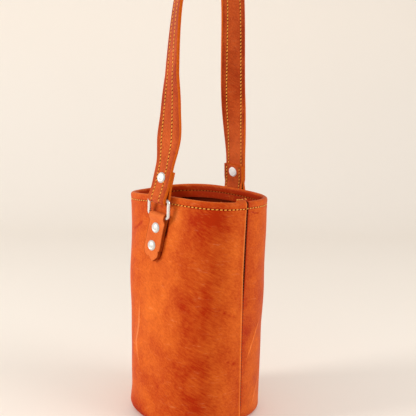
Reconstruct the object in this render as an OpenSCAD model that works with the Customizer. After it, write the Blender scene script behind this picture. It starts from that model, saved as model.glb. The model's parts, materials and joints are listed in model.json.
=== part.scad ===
// A leather carrier for one bottle: a sewn tube with a round base, carried by a
// two-ply strap that is folded through a metal ring on each side of the rim.
// +Z is up, the origin is the centre of the base on the floor. The two tabs are
// on the -X and +X sides and the upright seam is close to the -Y side.

/* [Bag] */
// Height of the rim above the floor, between the tabs
bag_h = 198; // [150:1:320]
// Half the width of the base, which is almost round
base_half = 54.5; // [45:0.5:70]
// Half the width of the rim across the two tabs
rim_half_x = 44; // [40:0.5:60]
// Half the width of the rim across the seam
rim_half_y = 62.5; // [45:0.5:75]
// How square the base is, where 2 is an ellipse
base_squareness = 2.4; // [2:0.1:3.5]
// How square the rim is, where 2 is an ellipse
rim_squareness = 2.9; // [2:0.1:3.5]
// How far the strap lifts the rim at the tabs, and the rim dips between them
rim_lift = 1.5; // [0:0.1:4]
// Thickness of the leather of the tube
wall_t = 1.9; // [1.2:0.1:2.6]
// Thickness of the leather of the base
base_t = 2.2; // [1.5:0.1:3]

/* [Seams and hem] */
// Depth of the hem that is turned in at the rim
hem_depth = 9; // [5:0.5:16]
// Radius of the rounded edge round the base
edge_round = 5; // [4:0.5:10]
// Height of the turned-up edges that join tube and base inside
base_allowance = 8; // [5:0.5:12]
// Slack between the turned-up edges of tube and base
base_seam_gap = 0.2; // [0.1:0.05:0.5]
// Direction of the upright seam, in degrees from +X towards +Y
seam_azimuth = 261.5; // [240:0.5:300]
// Width of each turned edge beside the upright seam, inside
seam_allowance = 7; // [4:0.5:12]
// Width of the groove along the upright seam, outside
groove_w = 2.2; // [1:0.1:4]
// Depth of the groove along the upright seam, outside
groove_d = 0.9; // [0.3:0.1:1.4]

/* [Rings] */
// Diameter of the ring's wire
wire_d = 3; // [2:0.1:4]
// Distance between the middles of the lower and upper bar
ring_pitch = 15; // [11:0.5:25]
// Distance between the middles of the two side bars
ring_span = 23; // [23:0.5:35]
// Radius of the ring's corners, at the middle of the wire
ring_corner = 2.4; // [2:0.1:2.6]
// Distance of the lower bar's middle below the rim
bar_drop = 15.6; // [8:0.1:40]
// How far the ring leans out from upright, in degrees
ring_lean = 4.8; // [2:0.1:12]
// How far the rings and strap lean towards the seam side, in degrees
side_tilt = 7; // [0:0.5:12]
// Clearance between the wire and the leather loops that turn on it
loop_clear = 0.08; // [0.05:0.01:0.1]

/* [Tabs] */
// Width of the tab
tab_w = 18; // [14:0.1:19.2]
// Thickness of the tab's leather
tab_t = 1.8; // [1.2:0.1:2.4]
// Length of the tab from the lower bar's middle to its pointed tip
tab_drop = 38.5; // [34:0.5:60]
// Height of the pointed part of the tab
tab_point = 8.5; // [4:0.5:10]
// How far the tab leans away from square to the ring, in degrees
tab_skew = 7; // [0:0.5:8]
// Slack between tab and tube, and between the tab's two layers
layer_gap = 0.15; // [0.1:0.05:0.4]
// Thickness of the patch inside, behind the tab
patch_t = 1.2; // [0.8:0.1:2]
// Height of the patch inside, behind the tab
patch_h = 38; // [30:0.5:42]
// How far the patch reaches above the upper rivet
patch_above = 12; // [8:0.5:16]

/* [Rivets] */
// Diameter of a rivet's domed cap
cap_d = 9; // [7:0.1:12]
// Height of the dome
cap_dome = 1.25; // [0.8:0.05:2]
// Thickness of the cap's edge
cap_edge = 0.35; // [0.2:0.05:0.6]
// Diameter of the rivet's post
post_d = 3; // [2:0.1:4]
// Slack round the post in its holes
post_clear = 0.05; // [0.02:0.01:0.2]
// How far the post reaches into the outer cap
post_seat = 0.7; // [0.4:0.05:1]
// Distance of the upper tab rivet below the lower bar's middle
tab_rivet_drop = 10.5; // [9.5:0.5:14]
// Distance between the two tab rivets
tab_rivet_pitch = 16; // [12:0.5:20]
// Distance of the strap rivet above the upper bar's middle
strap_rivet_rise = 18; // [16:0.5:24]

/* [Strap] */
// Width of the strap where it passes through its rings
strap_w = 19; // [14:0.1:19.2]
// Thickness of each of the strap's two plies
ply_t = 1.3; // [0.9:0.1:1.8]
// Slack between the two plies, and between the folded layers
ply_gap = 0.1; // [0.05:0.05:0.3]
// How far the folded tail reaches above the strap rivet
tail_above_rivet = 6.5; // [5:0.5:12]
// How far the strap's fixed end reaches above the tail
end_above_tail = 2.5; // [1:0.5:8]
// How far the strap leans in over the rim at its ends, in degrees
strap_lean = 10; // [4:0.5:12]
// Half the angle between the legs of the fold, in degrees
fold_taper = 9; // [6:0.5:14]

/* [Handle] */
// Height of the middle of the handle's crown above the rim
crown_rise = 200; // [150:1:280]
// How far the crown lies towards the seam side
crown_y = 14; // [0:0.5:30]
// Height above the rim at which the two arms run almost upright
arm_rise = 102; // [85:1:130]
// Half the distance between the arms there
arm_half = 39.2; // [32:0.2:50]
// How far the arms lie towards the seam side there
arm_y = 6.3; // [0:0.1:20]
// Width of the strap along its arms
arm_w = 22; // [14:0.1:26]
// Twist of the arm on the -X side, in degrees
twist_left = 31; // [0:1:75]
// Twist of the same arm the other way, just above its ring, in degrees
twist_back = 13; // [0:1:30]
// Twist of the arm on the +X side, in degrees
twist_right = 66; // [0:1:75]
// Twist at the crown, in degrees
twist_crown = 20; // [0:1:60]
// Slack between the bending stretches and their neighbours
flex_gap = 0.25; // [0.1:0.05:0.4]

/* [Hidden] */

LEFT = -1;
RIGHT = 1;

// Faces of round parts
wire_faces = 32;
bore_faces = 32;
cap_faces = 40;
// One overrun for every cut
overrun = 1;

// Steps round the tube, and up its side
round_steps = 60;
side_steps = 7;
arc_steps = 5;

tan_leather = [0.72, 0.36, 0.16];
dark_leather = [0.58, 0.26, 0.11];
inner_leather = [0.45, 0.20, 0.10];
nickel = [0.80, 0.80, 0.82];

// Outline of the tube
// The shape stays constant up to straight_z and then changes evenly to the rim.
straight_z = edge_round + base_allowance / 2;
function rise_share(z) = max(0, (z - straight_z) / (bag_h - straight_z));
function half_x(z) = base_half + (rim_half_x - base_half) * rise_share(z);
function half_y(z) = base_half + (rim_half_y - base_half) * rise_share(z);
function squareness(z) = base_squareness + (rim_squareness - base_squareness) * rise_share(z);

// Distance from the axis in direction az of a squared ellipse drawn in by inset
function reach(az, z, inset) =
    let (n = squareness(z))
    pow(pow(abs(cos(az)) / (half_x(z) - inset), n) + pow(abs(sin(az)) / (half_y(z) - inset), n),
        -1 / n);

// Height after the rim's lift at the tabs
function lifted(az, z) = z + rim_lift * cos(2 * az) * rise_share(z);
function tube_point(az, z, inset) =
    let (r = reach(az, z, inset))
    [r * cos(az), r * sin(az), lifted(az, z)];

// Directions round the tube, with extra ones at the seam's groove and edges
function seam_angle(width) = width / reach(seam_azimuth, bag_h, 0) * 180 / PI;
allowance_angle = seam_angle(seam_allowance);
edge_angle = seam_angle(wall_t / 2);
groove_angle = seam_angle(groove_w / 2);
directions = concat(
    [for (a = [-allowance_angle, edge_angle - allowance_angle, -groove_angle, 0,
               groove_angle, allowance_angle - edge_angle, allowance_angle]) seam_azimuth + a],
    [for (i = [1:round_steps - 1])
        seam_azimuth + allowance_angle + i * (360 - 2 * allowance_angle) / round_steps]);

// Extra thickness inside and missing thickness outside, at one direction
function off_seam(az) = abs(az - seam_azimuth);
function seam_bump(az) = off_seam(az) < allowance_angle - edge_angle / 2 ? wall_t : 0;
function seam_cut(az) = off_seam(az) < groove_angle / 2 ? groove_d : 0;

// Profile of the tube as [inset, height], round the whole thickness. The turned-up
// edge at the bottom starts a small step inside the rounded edge.
flange_step_share = 0.25;
flange_step = wall_t * flange_step_share;
flange_out = edge_round + flange_step;
flange_in = flange_out + wall_t;
function side_z(i) = edge_round + (bag_h - wall_t - edge_round) * i / side_steps;
function side_inner_z(i) = edge_round + (bag_h - hem_depth - edge_round) * i / side_steps;
function tube_profile(cut, bump) = concat(
    [for (i = [0:arc_steps - 1])
        let (a = 90 * i / arc_steps)
        [edge_round * (1 - sin(a)) + cut * i / arc_steps, edge_round * (1 - cos(a))]],
    [for (i = [0:side_steps]) [cut, side_z(i)]],
    [for (i = [1:arc_steps])
        let (a = 180 * i / arc_steps)
        [wall_t * (1 - cos(a)) + (cut * (1 + cos(a)) + bump * (1 - cos(a))) / 2,
         bag_h - wall_t + wall_t * sin(a)]],
    [[2 * wall_t + bump, bag_h - hem_depth]],
    [for (i = [side_steps:-1:0]) [wall_t + bump, side_inner_z(i)]],
    [for (i = [arc_steps - 1:-1:0])
        let (a = 90 * i / arc_steps)
        [edge_round - (edge_round - wall_t - bump) * sin(a),
         edge_round - (edge_round - wall_t) * cos(a)]],
    [[flange_out, wall_t], [flange_out, base_allowance], [flange_in, base_allowance],
     [flange_in, flange_step], [flange_in - flange_step, 0]]);

// Closed ring from one profile for each direction
module profile_ring(rings) {
    n = len(rings);
    m = len(rings[0]);
    polyhedron(
        points = [for (ring = rings) each ring],
        faces = [for (i = [0:n - 1], j = [0:m - 1])
            let (a = i * m + j, b = i * m + (j + 1) % m,
                 c = ((i + 1) % n) * m + (j + 1) % m, d = ((i + 1) % n) * m + j)
            each [[a, d, b], [b, d, c]]]);
}

module tube() {
    profile_ring([for (az = directions)
        [for (p = tube_profile(seam_cut(az), seam_bump(az))) tube_point(az, p[1], p[0])]]);
}

// Frames of the two sides: o points outward, y along the ring's bars, h up.
bar_z = bag_h - bar_drop;
wall_lean = atan((base_half - rim_half_x) / (bag_h - straight_z));
wire_r = wire_d / 2;
loop_r = wire_r + loop_clear;
bar_off = layer_gap + tab_t + loop_r;
bar_x = half_x(bar_z) + bar_off / cos(wall_lean);
upper_x = bar_x + ring_pitch * sin(ring_lean);
upper_rise = ring_pitch * cos(ring_lean);
upper_y = -upper_rise * sin(side_tilt);
upper_z = bar_z + upper_rise * cos(side_tilt);

module at_lower_bar(side, lean) {
    translate([side * bar_x, 0, bar_z])
        rotate([side_tilt, 0, 0])
            mirror([side < 0 ? 1 : 0, 0, 0])
                rotate([0, lean, 0])
                    children();
}

module at_upper_bar(side, lean) {
    translate([side * upper_x, upper_y, upper_z])
        rotate([side_tilt, 0, 0])
            mirror([side < 0 ? 1 : 0, 0, 0])
                rotate([0, lean, 0])
                    children();
}

// Draws a flat outline in the o and h directions and gives it a width along y
module across(width) {
    rotate([90, 0, 0])
        linear_extrude(width, center = true)
            children();
}

// Turns a solid's +Z to outward
module outward() {
    rotate([0, 90, 0])
        children();
}

// Rivet places on a tab: each child is drawn with +Z outward at the bar's depth
function skew_y(h) = -h * tan(tab_skew);
tab_rivet_heights = [-tab_rivet_drop, -tab_rivet_drop - tab_rivet_pitch];
module at_tab_rivets(side) {
    at_lower_bar(side, -wall_lean)
        for (h = tab_rivet_heights)
            translate([0, skew_y(h), h])
                outward()
                    children();
}

// Depths along o, from the bar's middle: the tab and the tube's wall
tab_face = tab_t - loop_r + layer_gap;
wall_out = -bar_off;
wall_in = wall_out - wall_t;

// The patch is flat behind a curved wall, so its lowest corner sets its depth
patch_low = patch_above - tab_rivet_drop - patch_h;
patch_corner = tab_w / 2 + skew_y(patch_low);
patch_corner_y = patch_corner * cos(side_tilt) - patch_low * sin(side_tilt);
patch_corner_z = bar_z + patch_low * cos(side_tilt) + patch_corner * sin(side_tilt);
function wall_inner_x(y, z) =
    let (n = squareness(z))
    (half_x(z) - wall_t) * pow(1 - pow(y / (half_y(z) - wall_t), n), 1 / n);
patch_slack = layer_gap + half_x(bar_z + patch_low) - wall_t
              - wall_inner_x(patch_corner_y, patch_corner_z);
patch_in = wall_in - patch_slack - patch_t;
post_r = post_d / 2;
hole_r = post_r + post_clear;

module post_holes(side) {
    at_tab_rivets(side)
        cylinder(r = hole_r, h = 2 * (overrun - patch_in),
                 center = true, $fn = bore_faces);
}

module wall_panel() {
    color(tan_leather)
        difference() {
            tube();
            post_holes(LEFT);
            post_holes(RIGHT);
        }
}

// The base: a flat panel whose edge is turned up inside the tube's own
base_inset = flange_in + base_seam_gap;
module base_outline(inset) {
    polygon([for (az = directions) let (p = tube_point(az, 0, inset)) [p[0], p[1]]]);
}

module base_panel() {
    color(inner_leather)
        difference() {
            linear_extrude(base_allowance)
                base_outline(base_inset);
            translate([0, 0, base_t])
                linear_extrude(base_allowance)
                    base_outline(base_inset + wall_t);
        }
}

// The patch inside the tube, behind a tab
module patch(side) {
    color(inner_leather)
        difference() {
            at_lower_bar(side, -wall_lean)
                translate([patch_in, 0, patch_low + patch_h])
                    outward()
                        linear_extrude(patch_t)
                            polygon([for (p = [[0, -1], [0, 1], [patch_h, 1], [patch_h, -1]])
                                [p[0], p[1] * tab_w / 2 + skew_y(patch_low + patch_h - p[0])]]);
            post_holes(side);
        }
}

// The tab: one strip over the lower bar, both layers outside, with a pointed end
front_out = tab_face;
front_in = tab_face - tab_t;
tab_outer_r = loop_r + tab_t;
tab_bend_drop = tab_rivet_drop - cap_d / 2 - tab_t / 2;

// Points of an arc round the bar's middle, and the direction where a line from
// point p touches a circle of radius r
function arc(r, from, to, steps) = [for (i = [0:steps])
    let (a = from + (to - from) * i / steps) [r * cos(a), r * sin(a)]];
function touch(p, r) = atan2(p[1], p[0]) + acos(r / norm(p));

// The slot between the layers starts inside the loop's bore, short of its side
slot_start_share = 0.3;
module tab_side_view() {
    bend_out = [front_out, -tab_bend_drop];
    bend_in = [front_in, -tab_bend_drop];
    difference() {
        polygon(concat([[-tab_outer_r, -tab_drop]],
                       arc(tab_outer_r, 180, touch(bend_out, tab_outer_r), 2 * arc_steps),
                       [bend_out, [front_out, -tab_drop]]));
        circle(r = loop_r, $fn = bore_faces);
        polygon([[-loop_r, -loop_r * slot_start_share], [-loop_r, -tab_drop - overrun],
                 [front_in, -tab_drop - overrun], bend_in,
                 [loop_r * (1 - slot_start_share), -loop_r * slot_start_share]]);
    }
}

module tab_front_view() {
    shoulder = tab_drop - tab_point;
    polygon([[-tab_w / 2, tab_outer_r], [-tab_w / 2, 0],
             [skew_y(-shoulder) - tab_w / 2, -shoulder], [skew_y(-tab_drop), -tab_drop],
             [skew_y(-shoulder) + tab_w / 2, -shoulder], [tab_w / 2, 0], [tab_w / 2, tab_outer_r]]);
}

module tab(side) {
    color(dark_leather)
        difference() {
            at_lower_bar(side, -wall_lean)
                intersection() {
                    across(2 * tab_w)
                        tab_side_view();
                    translate([-tab_drop / 2, 0, 0])
                        outward()
                            rotate([0, 0, 90])
                                linear_extrude(tab_drop)
                                    tab_front_view();
                }
            post_holes(side);
        }
}

// Rivets: a domed cap outside, and a post that carries the same dome inside
dome_r = (pow(cap_d / 2, 2) + pow(cap_dome, 2)) / (2 * cap_dome);
module dome() {
    rotate_extrude($fn = cap_faces)
        union() {
            square([cap_d / 2, cap_edge]);
            translate([0, cap_edge])
                intersection() {
                    translate([0, cap_dome - dome_r])
                        circle(r = dome_r, $fn = 4 * cap_faces);
                    square([cap_d / 2, cap_dome]);
                }
        }
}

module outer_cap(face) {
    translate([0, 0, face])
        difference() {
            dome();
            translate([0, 0, -overrun])
                cylinder(r = hole_r, h = post_seat + post_clear + overrun, $fn = bore_faces);
        }
}

module post(face_in, face_out) {
    translate([0, 0, face_in])
        mirror([0, 0, 1])
            dome();
    translate([0, 0, face_in])
        cylinder(r = post_r, h = face_out + post_seat - face_in, $fn = bore_faces);
}

module tab_rivet_caps() {
    color(nickel)
        for (side = [LEFT, RIGHT])
            at_tab_rivets(side)
                outer_cap(front_out);
}

module tab_rivet_posts() {
    color(nickel)
        for (side = [LEFT, RIGHT])
            at_tab_rivets(side)
                post(patch_in, front_out);
}

// The ring: four straight bars and four bent corners of round wire
module ring_corner_bend() {
    rotate_extrude(angle = 90, $fn = wire_faces)
        translate([ring_corner, 0])
            circle(r = wire_r, $fn = wire_faces);
}

module ring(side) {
    half_bar = ring_span / 2 - ring_corner;
    half_post = ring_pitch / 2 - ring_corner;
    color(nickel)
        at_lower_bar(side, ring_lean)
            translate([0, 0, ring_pitch / 2])
                rotate([90, 0, 90]) {
                    for (v = [-1, 1])
                        translate([-half_bar, v * ring_pitch / 2, 0])
                            rotate([0, 90, 0])
                                cylinder(r = wire_r, h = 2 * half_bar, $fn = wire_faces);
                    for (u = [-1, 1])
                        translate([u * ring_span / 2, -half_post, 0])
                            rotate([-90, 0, 0])
                                cylinder(r = wire_r, h = 2 * half_post, $fn = wire_faces);
                    for (quarter = [[1, 1, 0], [-1, 1, 90], [-1, -1, 180], [1, -1, 270]])
                        translate([quarter[0] * half_bar, quarter[1] * half_post, 0])
                            rotate([0, 0, quarter[2]])
                                ring_corner_bend();
                }
}

// The strap's fold: layers at increasing distance d from the upper bar's middle,
// whose legs close to each other and then run straight up
strap_t = 2 * ply_t + ply_gap;
fold_rs = [loop_r, loop_r + ply_t, loop_r + ply_t + ply_gap, loop_r + strap_t];
tail_top = strap_rivet_rise + tail_above_rivet;
end_top = tail_top + end_above_tail;
function leg_half(d) = d - loop_r + ply_gap / 2;
function leg_straight_from(d) = (d - leg_half(d) * cos(fold_taper)) / sin(fold_taper);

function fold_outline(d, top) = concat(
    [[leg_half(d), top], [leg_half(d), leg_straight_from(d)]],
    arc(d, fold_taper, -180 - fold_taper, 3 * arc_steps),
    [[-leg_half(d), leg_straight_from(d)], [-leg_half(d), top]]);

// The space that a fold leaves: round the bar it is a true bore, and above it
// a slot that starts inside the bore
slot_foot_share = 0.925;
module bore_and_slot() {
    d = fold_rs[0];
    foot = d * slot_foot_share;
    circle(r = d, $fn = bore_faces);
    polygon([[leg_half(d), end_top + overrun], [leg_half(d), leg_straight_from(d)],
             [foot, 0], [-foot, 0],
             [-leg_half(d), leg_straight_from(d)], [-leg_half(d), end_top + overrun]]);
}

module end_ply(side, is_inner) {
    d_in = is_inner ? fold_rs[0] : fold_rs[2];
    d_out = is_inner ? fold_rs[1] : fold_rs[3];
    color(dark_leather)
        at_upper_bar(side, -strap_lean)
            difference() {
                across(strap_w)
                    difference() {
                        polygon(fold_outline(d_out, end_top));
                        if (is_inner)
                            bore_and_slot();
                        else
                            polygon(fold_outline(d_in, end_top + overrun));
                        translate([-d_out - overrun, tail_top])
                            square([d_out + overrun, end_top]);
                    }
                translate([0, 0, strap_rivet_rise])
                    outward()
                        cylinder(r = hole_r, h = 2 * (d_out + overrun), center = true, $fn = bore_faces);
            }
}

module at_strap_rivet(side) {
    at_upper_bar(side, -strap_lean)
        translate([0, 0, strap_rivet_rise])
            outward()
                children();
}

pair_half = leg_half(fold_rs[3]);
module strap_rivet_cap(side) {
    color(nickel)
        at_strap_rivet(side)
            outer_cap(pair_half);
}

module strap_rivet_post(side) {
    color(nickel)
        at_strap_rivet(side)
            post(-pair_half, pair_half);
}

// The strap's route above its fixed ends: two curves on each side that meet
// where the arms run almost upright, mirrored at the crown.
// A place on the route is a number from 0 at the -X end to 4 at the +X end.
out_dir = [cos(strap_lean), -sin(strap_lean) * sin(side_tilt), sin(strap_lean) * cos(side_tilt)];
up_dir = [-sin(strap_lean), -cos(strap_lean) * sin(side_tilt), cos(strap_lean) * cos(side_tilt)];
strap_start = [upper_x, upper_y, upper_z] + out_dir * (ply_gap + strap_t) / 2
              + up_dir * end_top;
arm_point = [arm_half, -arm_y, bag_h + arm_rise];
crown_point = [0, -crown_y, bag_h + crown_rise];
arm_dir_shares = [-0.045, -0.02, 1];
low_reach_share = 1 / 3;
high_reach_share = 0.8;
crown_reach_share = 0.84;
low_reach = (arm_point[2] - strap_start[2]) * low_reach_share;
high_reach = (crown_point[2] - arm_point[2]) * high_reach_share;
crown_reach = arm_half * crown_reach_share;

function bezier(p, t) =
    p[0] * pow(1 - t, 3) + p[1] * 3 * t * pow(1 - t, 2) + p[2] * 3 * t * t * (1 - t) + p[3] * pow(t, 3);
function half_route(t) = t < 1
    ? bezier([strap_start, strap_start + up_dir * low_reach,
              arm_point - arm_dir_shares * low_reach, arm_point], t)
    : bezier([arm_point, arm_point + arm_dir_shares * high_reach,
              crown_point + [crown_reach, 0, 0], crown_point], t - 1);
function mirrored(p) = [-p[0], p[1], p[2]];
function route(t) = t < 2 ? mirrored(half_route(t)) : half_route(4 - t);

function unit(v) = v / norm(v);
route_nudge_share = 0.001;
function heading(t) = unit(route(min(4, t + route_nudge_share)) - route(max(0, t - route_nudge_share)));

// Twist about the route: it grows from zero at each end to the arm's own and
// eases to the crown's. The shares are places on the route, from an end.
left_twist_shares = [0.5, 1.35];
right_twist_shares = [0, 1.45];
crown_twist_shares = [1.4, 2];
back_twist_shares = [0, 0.33, 0.62];
function ease(x) = let (c = min(1, max(0, x))) c * c * (3 - 2 * c);
function between(t, shares) = ease((t - shares[0]) / (shares[1] - shares[0]));
function arm_twist(t, full, shares) =
    full * between(t, shares) + (twist_crown - full) * between(t, crown_twist_shares);
function back_twist(t) =
    twist_back * between(t, [back_twist_shares[0], back_twist_shares[1]])
               * (1 - between(t, [back_twist_shares[1], back_twist_shares[2]]));
function twist(t) = t < 2
    ? arm_twist(t, twist_left, left_twist_shares) - back_twist(t)
    : arm_twist(4 - t, twist_right, right_twist_shares);

function face_dir(t) =
    let (h = heading(t), flat = unit(cross(h, [0, cos(side_tilt), sin(side_tilt)])), a = -twist(t))
    flat * cos(a) + cross(h, flat) * sin(a);

// The strap widens to its arms' width above each ring
widening_share = 0.35;
function half_width(t) = (strap_w + (arm_w - strap_w) * ease(min(t, 4 - t) / widening_share)) / 2;

// One ply between two depths along the strap's face direction
function ply_section(t, depth_in, depth_out) =
    let (p = route(t), f = face_dir(t), w = cross(heading(t), f) * half_width(t))
    [p + f * depth_in - w, p + f * depth_in + w, p + f * depth_out + w, p + f * depth_out - w];

module ply_run(from, to, steps, depth_in, depth_out) {
    sections = [for (i = [0:steps]) ply_section(from + (to - from) * i / steps, depth_in, depth_out)];
    last = 4 * steps;
    polyhedron(
        points = [for (s = sections) each s],
        faces = concat(
            [[0, 2, 1], [0, 3, 2], [last, last + 1, last + 2], [last, last + 2, last + 3]],
            [for (i = [0:steps - 1], j = [0:3])
                let (a = 4 * i + j, b = 4 * i + (j + 1) % 4)
                each j < 2 ? [[a, b, a + 4], [b, b + 4, a + 4]] : [[a, b, b + 4], [a, b + 4, a + 4]]]));
}

// The place on the route where a bending stretch ends and the handle begins
flex_end_share = 0.5;
gap_step = flex_gap / norm(route(1) - route(0));
outer_depths = [ply_gap / 2, ply_gap / 2 + ply_t];
inner_depths = [-ply_gap / 2 - ply_t, -ply_gap / 2];
flex_steps = 8;
handle_steps = 56;

module flex_ply(side, depths) {
    from = side < 0 ? gap_step : 4 - flex_end_share;
    to = side < 0 ? flex_end_share : 4 - gap_step;
    color(dark_leather)
        ply_run(from, to, flex_steps, depths[0], depths[1]);
}

module handle_ply(depths) {
    from = flex_end_share + gap_step;
    to = 4 - flex_end_share - gap_step;
    color(dark_leather)
        ply_run(from, to, handle_steps, depths[0], depths[1]);
}

wall_panel();
base_panel();
patch(LEFT);  // patch_left
patch(RIGHT);  // patch_right
tab(LEFT);  // tab_left
tab(RIGHT);  // tab_right
tab_rivet_caps();
tab_rivet_posts();
ring(LEFT);  // ring_left
ring(RIGHT);  // ring_right
end_ply(LEFT, false);  // end_outer_ply_left
end_ply(LEFT, true);  // end_inner_ply_left
strap_rivet_cap(LEFT);  // strap_rivet_cap_left
strap_rivet_post(LEFT);  // strap_rivet_post_left
flex_ply(LEFT, outer_depths);  // flex_outer_ply_left
flex_ply(LEFT, inner_depths);  // flex_inner_ply_left
handle_ply(outer_depths);  // handle_outer_ply
handle_ply(inner_depths);  // handle_inner_ply
flex_ply(RIGHT, outer_depths);  // flex_outer_ply_right
flex_ply(RIGHT, inner_depths);  // flex_inner_ply_right
end_ply(RIGHT, false);  // end_outer_ply_right
end_ply(RIGHT, true);  // end_inner_ply_right
strap_rivet_cap(RIGHT);  // strap_rivet_cap_right
strap_rivet_post(RIGHT);  // strap_rivet_post_right
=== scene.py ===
# %% [markdown]
# # A leather carrier for one bottle
# A tube of tan leather stands on a pale floor. Its rim is turned in and sewn, one
# upright seam closes it, and its round base is sewn in from inside. A long strap
# of two plies is folded through a metal ring on each side, and each ring hangs in
# a tab that two rivets hold to the tube.
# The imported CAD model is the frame. It fixes every size and place, so each piece
# here is built straight into the same coordinates, in metres.

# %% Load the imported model
import json
from math import acos, atan, atan2, cos, degrees, hypot, pi, radians, sin, sqrt, tan

import bmesh
import bpy
import numpy as np
from mathutils import Matrix, Vector


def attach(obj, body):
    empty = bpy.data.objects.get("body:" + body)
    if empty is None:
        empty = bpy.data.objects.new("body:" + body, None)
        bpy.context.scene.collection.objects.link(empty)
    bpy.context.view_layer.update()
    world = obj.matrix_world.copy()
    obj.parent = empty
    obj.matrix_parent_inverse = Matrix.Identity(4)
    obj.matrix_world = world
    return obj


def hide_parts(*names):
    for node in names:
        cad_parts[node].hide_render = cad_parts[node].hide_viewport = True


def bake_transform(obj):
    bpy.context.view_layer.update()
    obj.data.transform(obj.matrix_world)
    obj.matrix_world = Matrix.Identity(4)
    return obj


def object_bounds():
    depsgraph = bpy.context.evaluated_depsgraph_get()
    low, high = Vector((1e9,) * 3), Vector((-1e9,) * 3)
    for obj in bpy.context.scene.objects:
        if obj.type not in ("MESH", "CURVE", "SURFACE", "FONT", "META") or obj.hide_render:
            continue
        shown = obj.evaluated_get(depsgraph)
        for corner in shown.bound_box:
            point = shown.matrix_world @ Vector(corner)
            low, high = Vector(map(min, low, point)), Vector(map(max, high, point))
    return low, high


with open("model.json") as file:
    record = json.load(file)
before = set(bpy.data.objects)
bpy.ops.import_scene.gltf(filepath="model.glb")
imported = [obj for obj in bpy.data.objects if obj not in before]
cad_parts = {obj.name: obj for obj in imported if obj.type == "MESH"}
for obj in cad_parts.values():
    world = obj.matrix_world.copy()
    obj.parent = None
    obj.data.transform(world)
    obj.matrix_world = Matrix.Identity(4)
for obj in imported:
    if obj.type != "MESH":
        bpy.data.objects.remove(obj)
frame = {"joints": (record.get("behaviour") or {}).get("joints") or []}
scene = bpy.context.scene
cad_box = [list(corner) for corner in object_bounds()]
joints = {joint["name"]: joint for joint in frame["joints"]}
MM = 0.001
print("CAD box in mm:", [[round(v / MM, 1) for v in corner] for corner in cad_box])

# %% [markdown]
# ## The outline of the tube
# The tube is almost round at its foot and a squared oval at its rim, 125 mm long
# and 88 mm wide. A squared ellipse gives both with one formula, and its size and
# squareness change evenly with the height. The strap lifts the rim at the tabs.
# These sizes, and those further down, are the ones that the CAD model was made
# with, because a piece that replaces a solid has to fill the same space.

# %% Soft curves that much here is shaped with
def smooth_step(x):
    """0 below 0 and 1 above 1, with an eased rise between."""
    x = np.clip(x, 0, 1)
    return x * x * (3 - 2 * x)


def bell(x, width):
    """1 at 0, and soon 0 beyond the width."""
    return np.exp(-(x / width) ** 2)


def apart(az, centre):
    """Degrees from a direction given in degrees to az in radians, from -180 to 180."""
    return (np.degrees(az) - centre + 180) % 360 - 180

# %% Outline of the tube
BAG_H, BASE_HALF = 198 * MM, cad_box[1][0]
RIM_HALF_X, RIM_HALF_Y = 44 * MM, 62.5 * MM
BASE_SQUARE, RIM_SQUARE = 2.4, 2.9     # where 2 is an ellipse
EDGE_ROUND, ALLOWANCE = 5 * MM, 8 * MM     # the rounded foot, and the edge turned up inside
STRAIGHT_Z = EDGE_ROUND + ALLOWANCE / 2
RIM_LIFT, BACK_LIFT = 1.5 * MM, 2.4 * MM
BACK, BACK_SPREAD = 48, 45     # degrees


def rise_share(z):
    return np.clip((z - STRAIGHT_Z) / (BAG_H - STRAIGHT_Z), 0, None)


def reach(az, z, inset=0.0):
    """Distance from the axis to the leather in direction az, drawn in by inset."""
    share = rise_share(z)
    half_x = BASE_HALF + (RIM_HALF_X - BASE_HALF) * share - inset
    half_y = BASE_HALF + (RIM_HALF_Y - BASE_HALF) * share - inset
    n = BASE_SQUARE + (RIM_SQUARE - BASE_SQUARE) * share
    return (np.abs(np.cos(az) / half_x) ** n + np.abs(np.sin(az) / half_y) ** n) ** (-1 / n)


def lifted(az, z):
    """Height after the lift at the tabs, and a soft lift of the rim at the back."""
    share, back = rise_share(z), bell(apart(az, BACK), BACK_SPREAD)
    return z + RIM_LIFT * np.cos(2 * az) * share + BACK_LIFT * back * share ** 3


rim_halves = [round(float(reach(az, BAG_H)) / MM, 1) for az in (0.0, pi / 2)]
print("rim half widths in mm:", rim_halves)

# %% [markdown]
# ## The two sides
# Ring, tab and strap end lean at small angles of their own. Each has a local
# frame with o outwards, y along the ring's bars and h upwards, and one function
# that turns such points into the carrier's frame. The left side is its mirror.
# The two bars of the ring are the axes of the frame's joints.

# %% Frames of the two sides
SIDE_TILT = radians(7)     # rings and strap lean towards the seam side
WALL_LEAN = atan((BASE_HALF - RIM_HALF_X) / (BAG_H - STRAIGHT_Z))
LOWER_BAR = np.array(joints["ring_left_swing"]["pos_m"]) * (-1, 1, 1)
UPPER_BAR = np.array(joints["strap_left_pivot"]["pos_m"]) * (-1, 1, 1)
SIDES = {"left": -1, "right": 1}


def turned(points, side, lean):
    """Directions from a side's local o, y, h to the carrier's frame."""
    o, y, h = np.moveaxis(np.asarray(points, float), -1, 0)
    o, h = o * cos(lean) + h * sin(lean), h * cos(lean) - o * sin(lean)
    tilt_cos, tilt_sin = cos(SIDE_TILT), sin(SIDE_TILT)
    return np.stack([side * o, y * tilt_cos - h * tilt_sin, y * tilt_sin + h * tilt_cos], -1)


def placed(points, bar, side, lean):
    """Points from a side's local o, y, h, measured from a bar's middle."""
    return turned(points, side, lean) + bar * np.array([side, 1, 1])


print("bars in mm:", (LOWER_BAR / MM).round(1), (UPPER_BAR / MM).round(1))

# %% [markdown]
# ## Turning numbers into meshes
# Nearly every piece is a grid of points: rings round a tube, or sections along a
# strip. One helper joins such a grid into a closed skin, writes the two painted
# values that the leather reads, `tone` for stains, rubbed places and painted shade
# and highlights and `raw` for cut edges, and turns all faces outwards. Another hides
# the CAD nodes that a piece stands for and hangs the piece on the body it moves with.

# %% Mesh helpers
def put_in_scene(name, data):
    obj = bpy.data.objects.new(name, data)
    scene.collection.objects.link(obj)
    return obj


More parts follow.
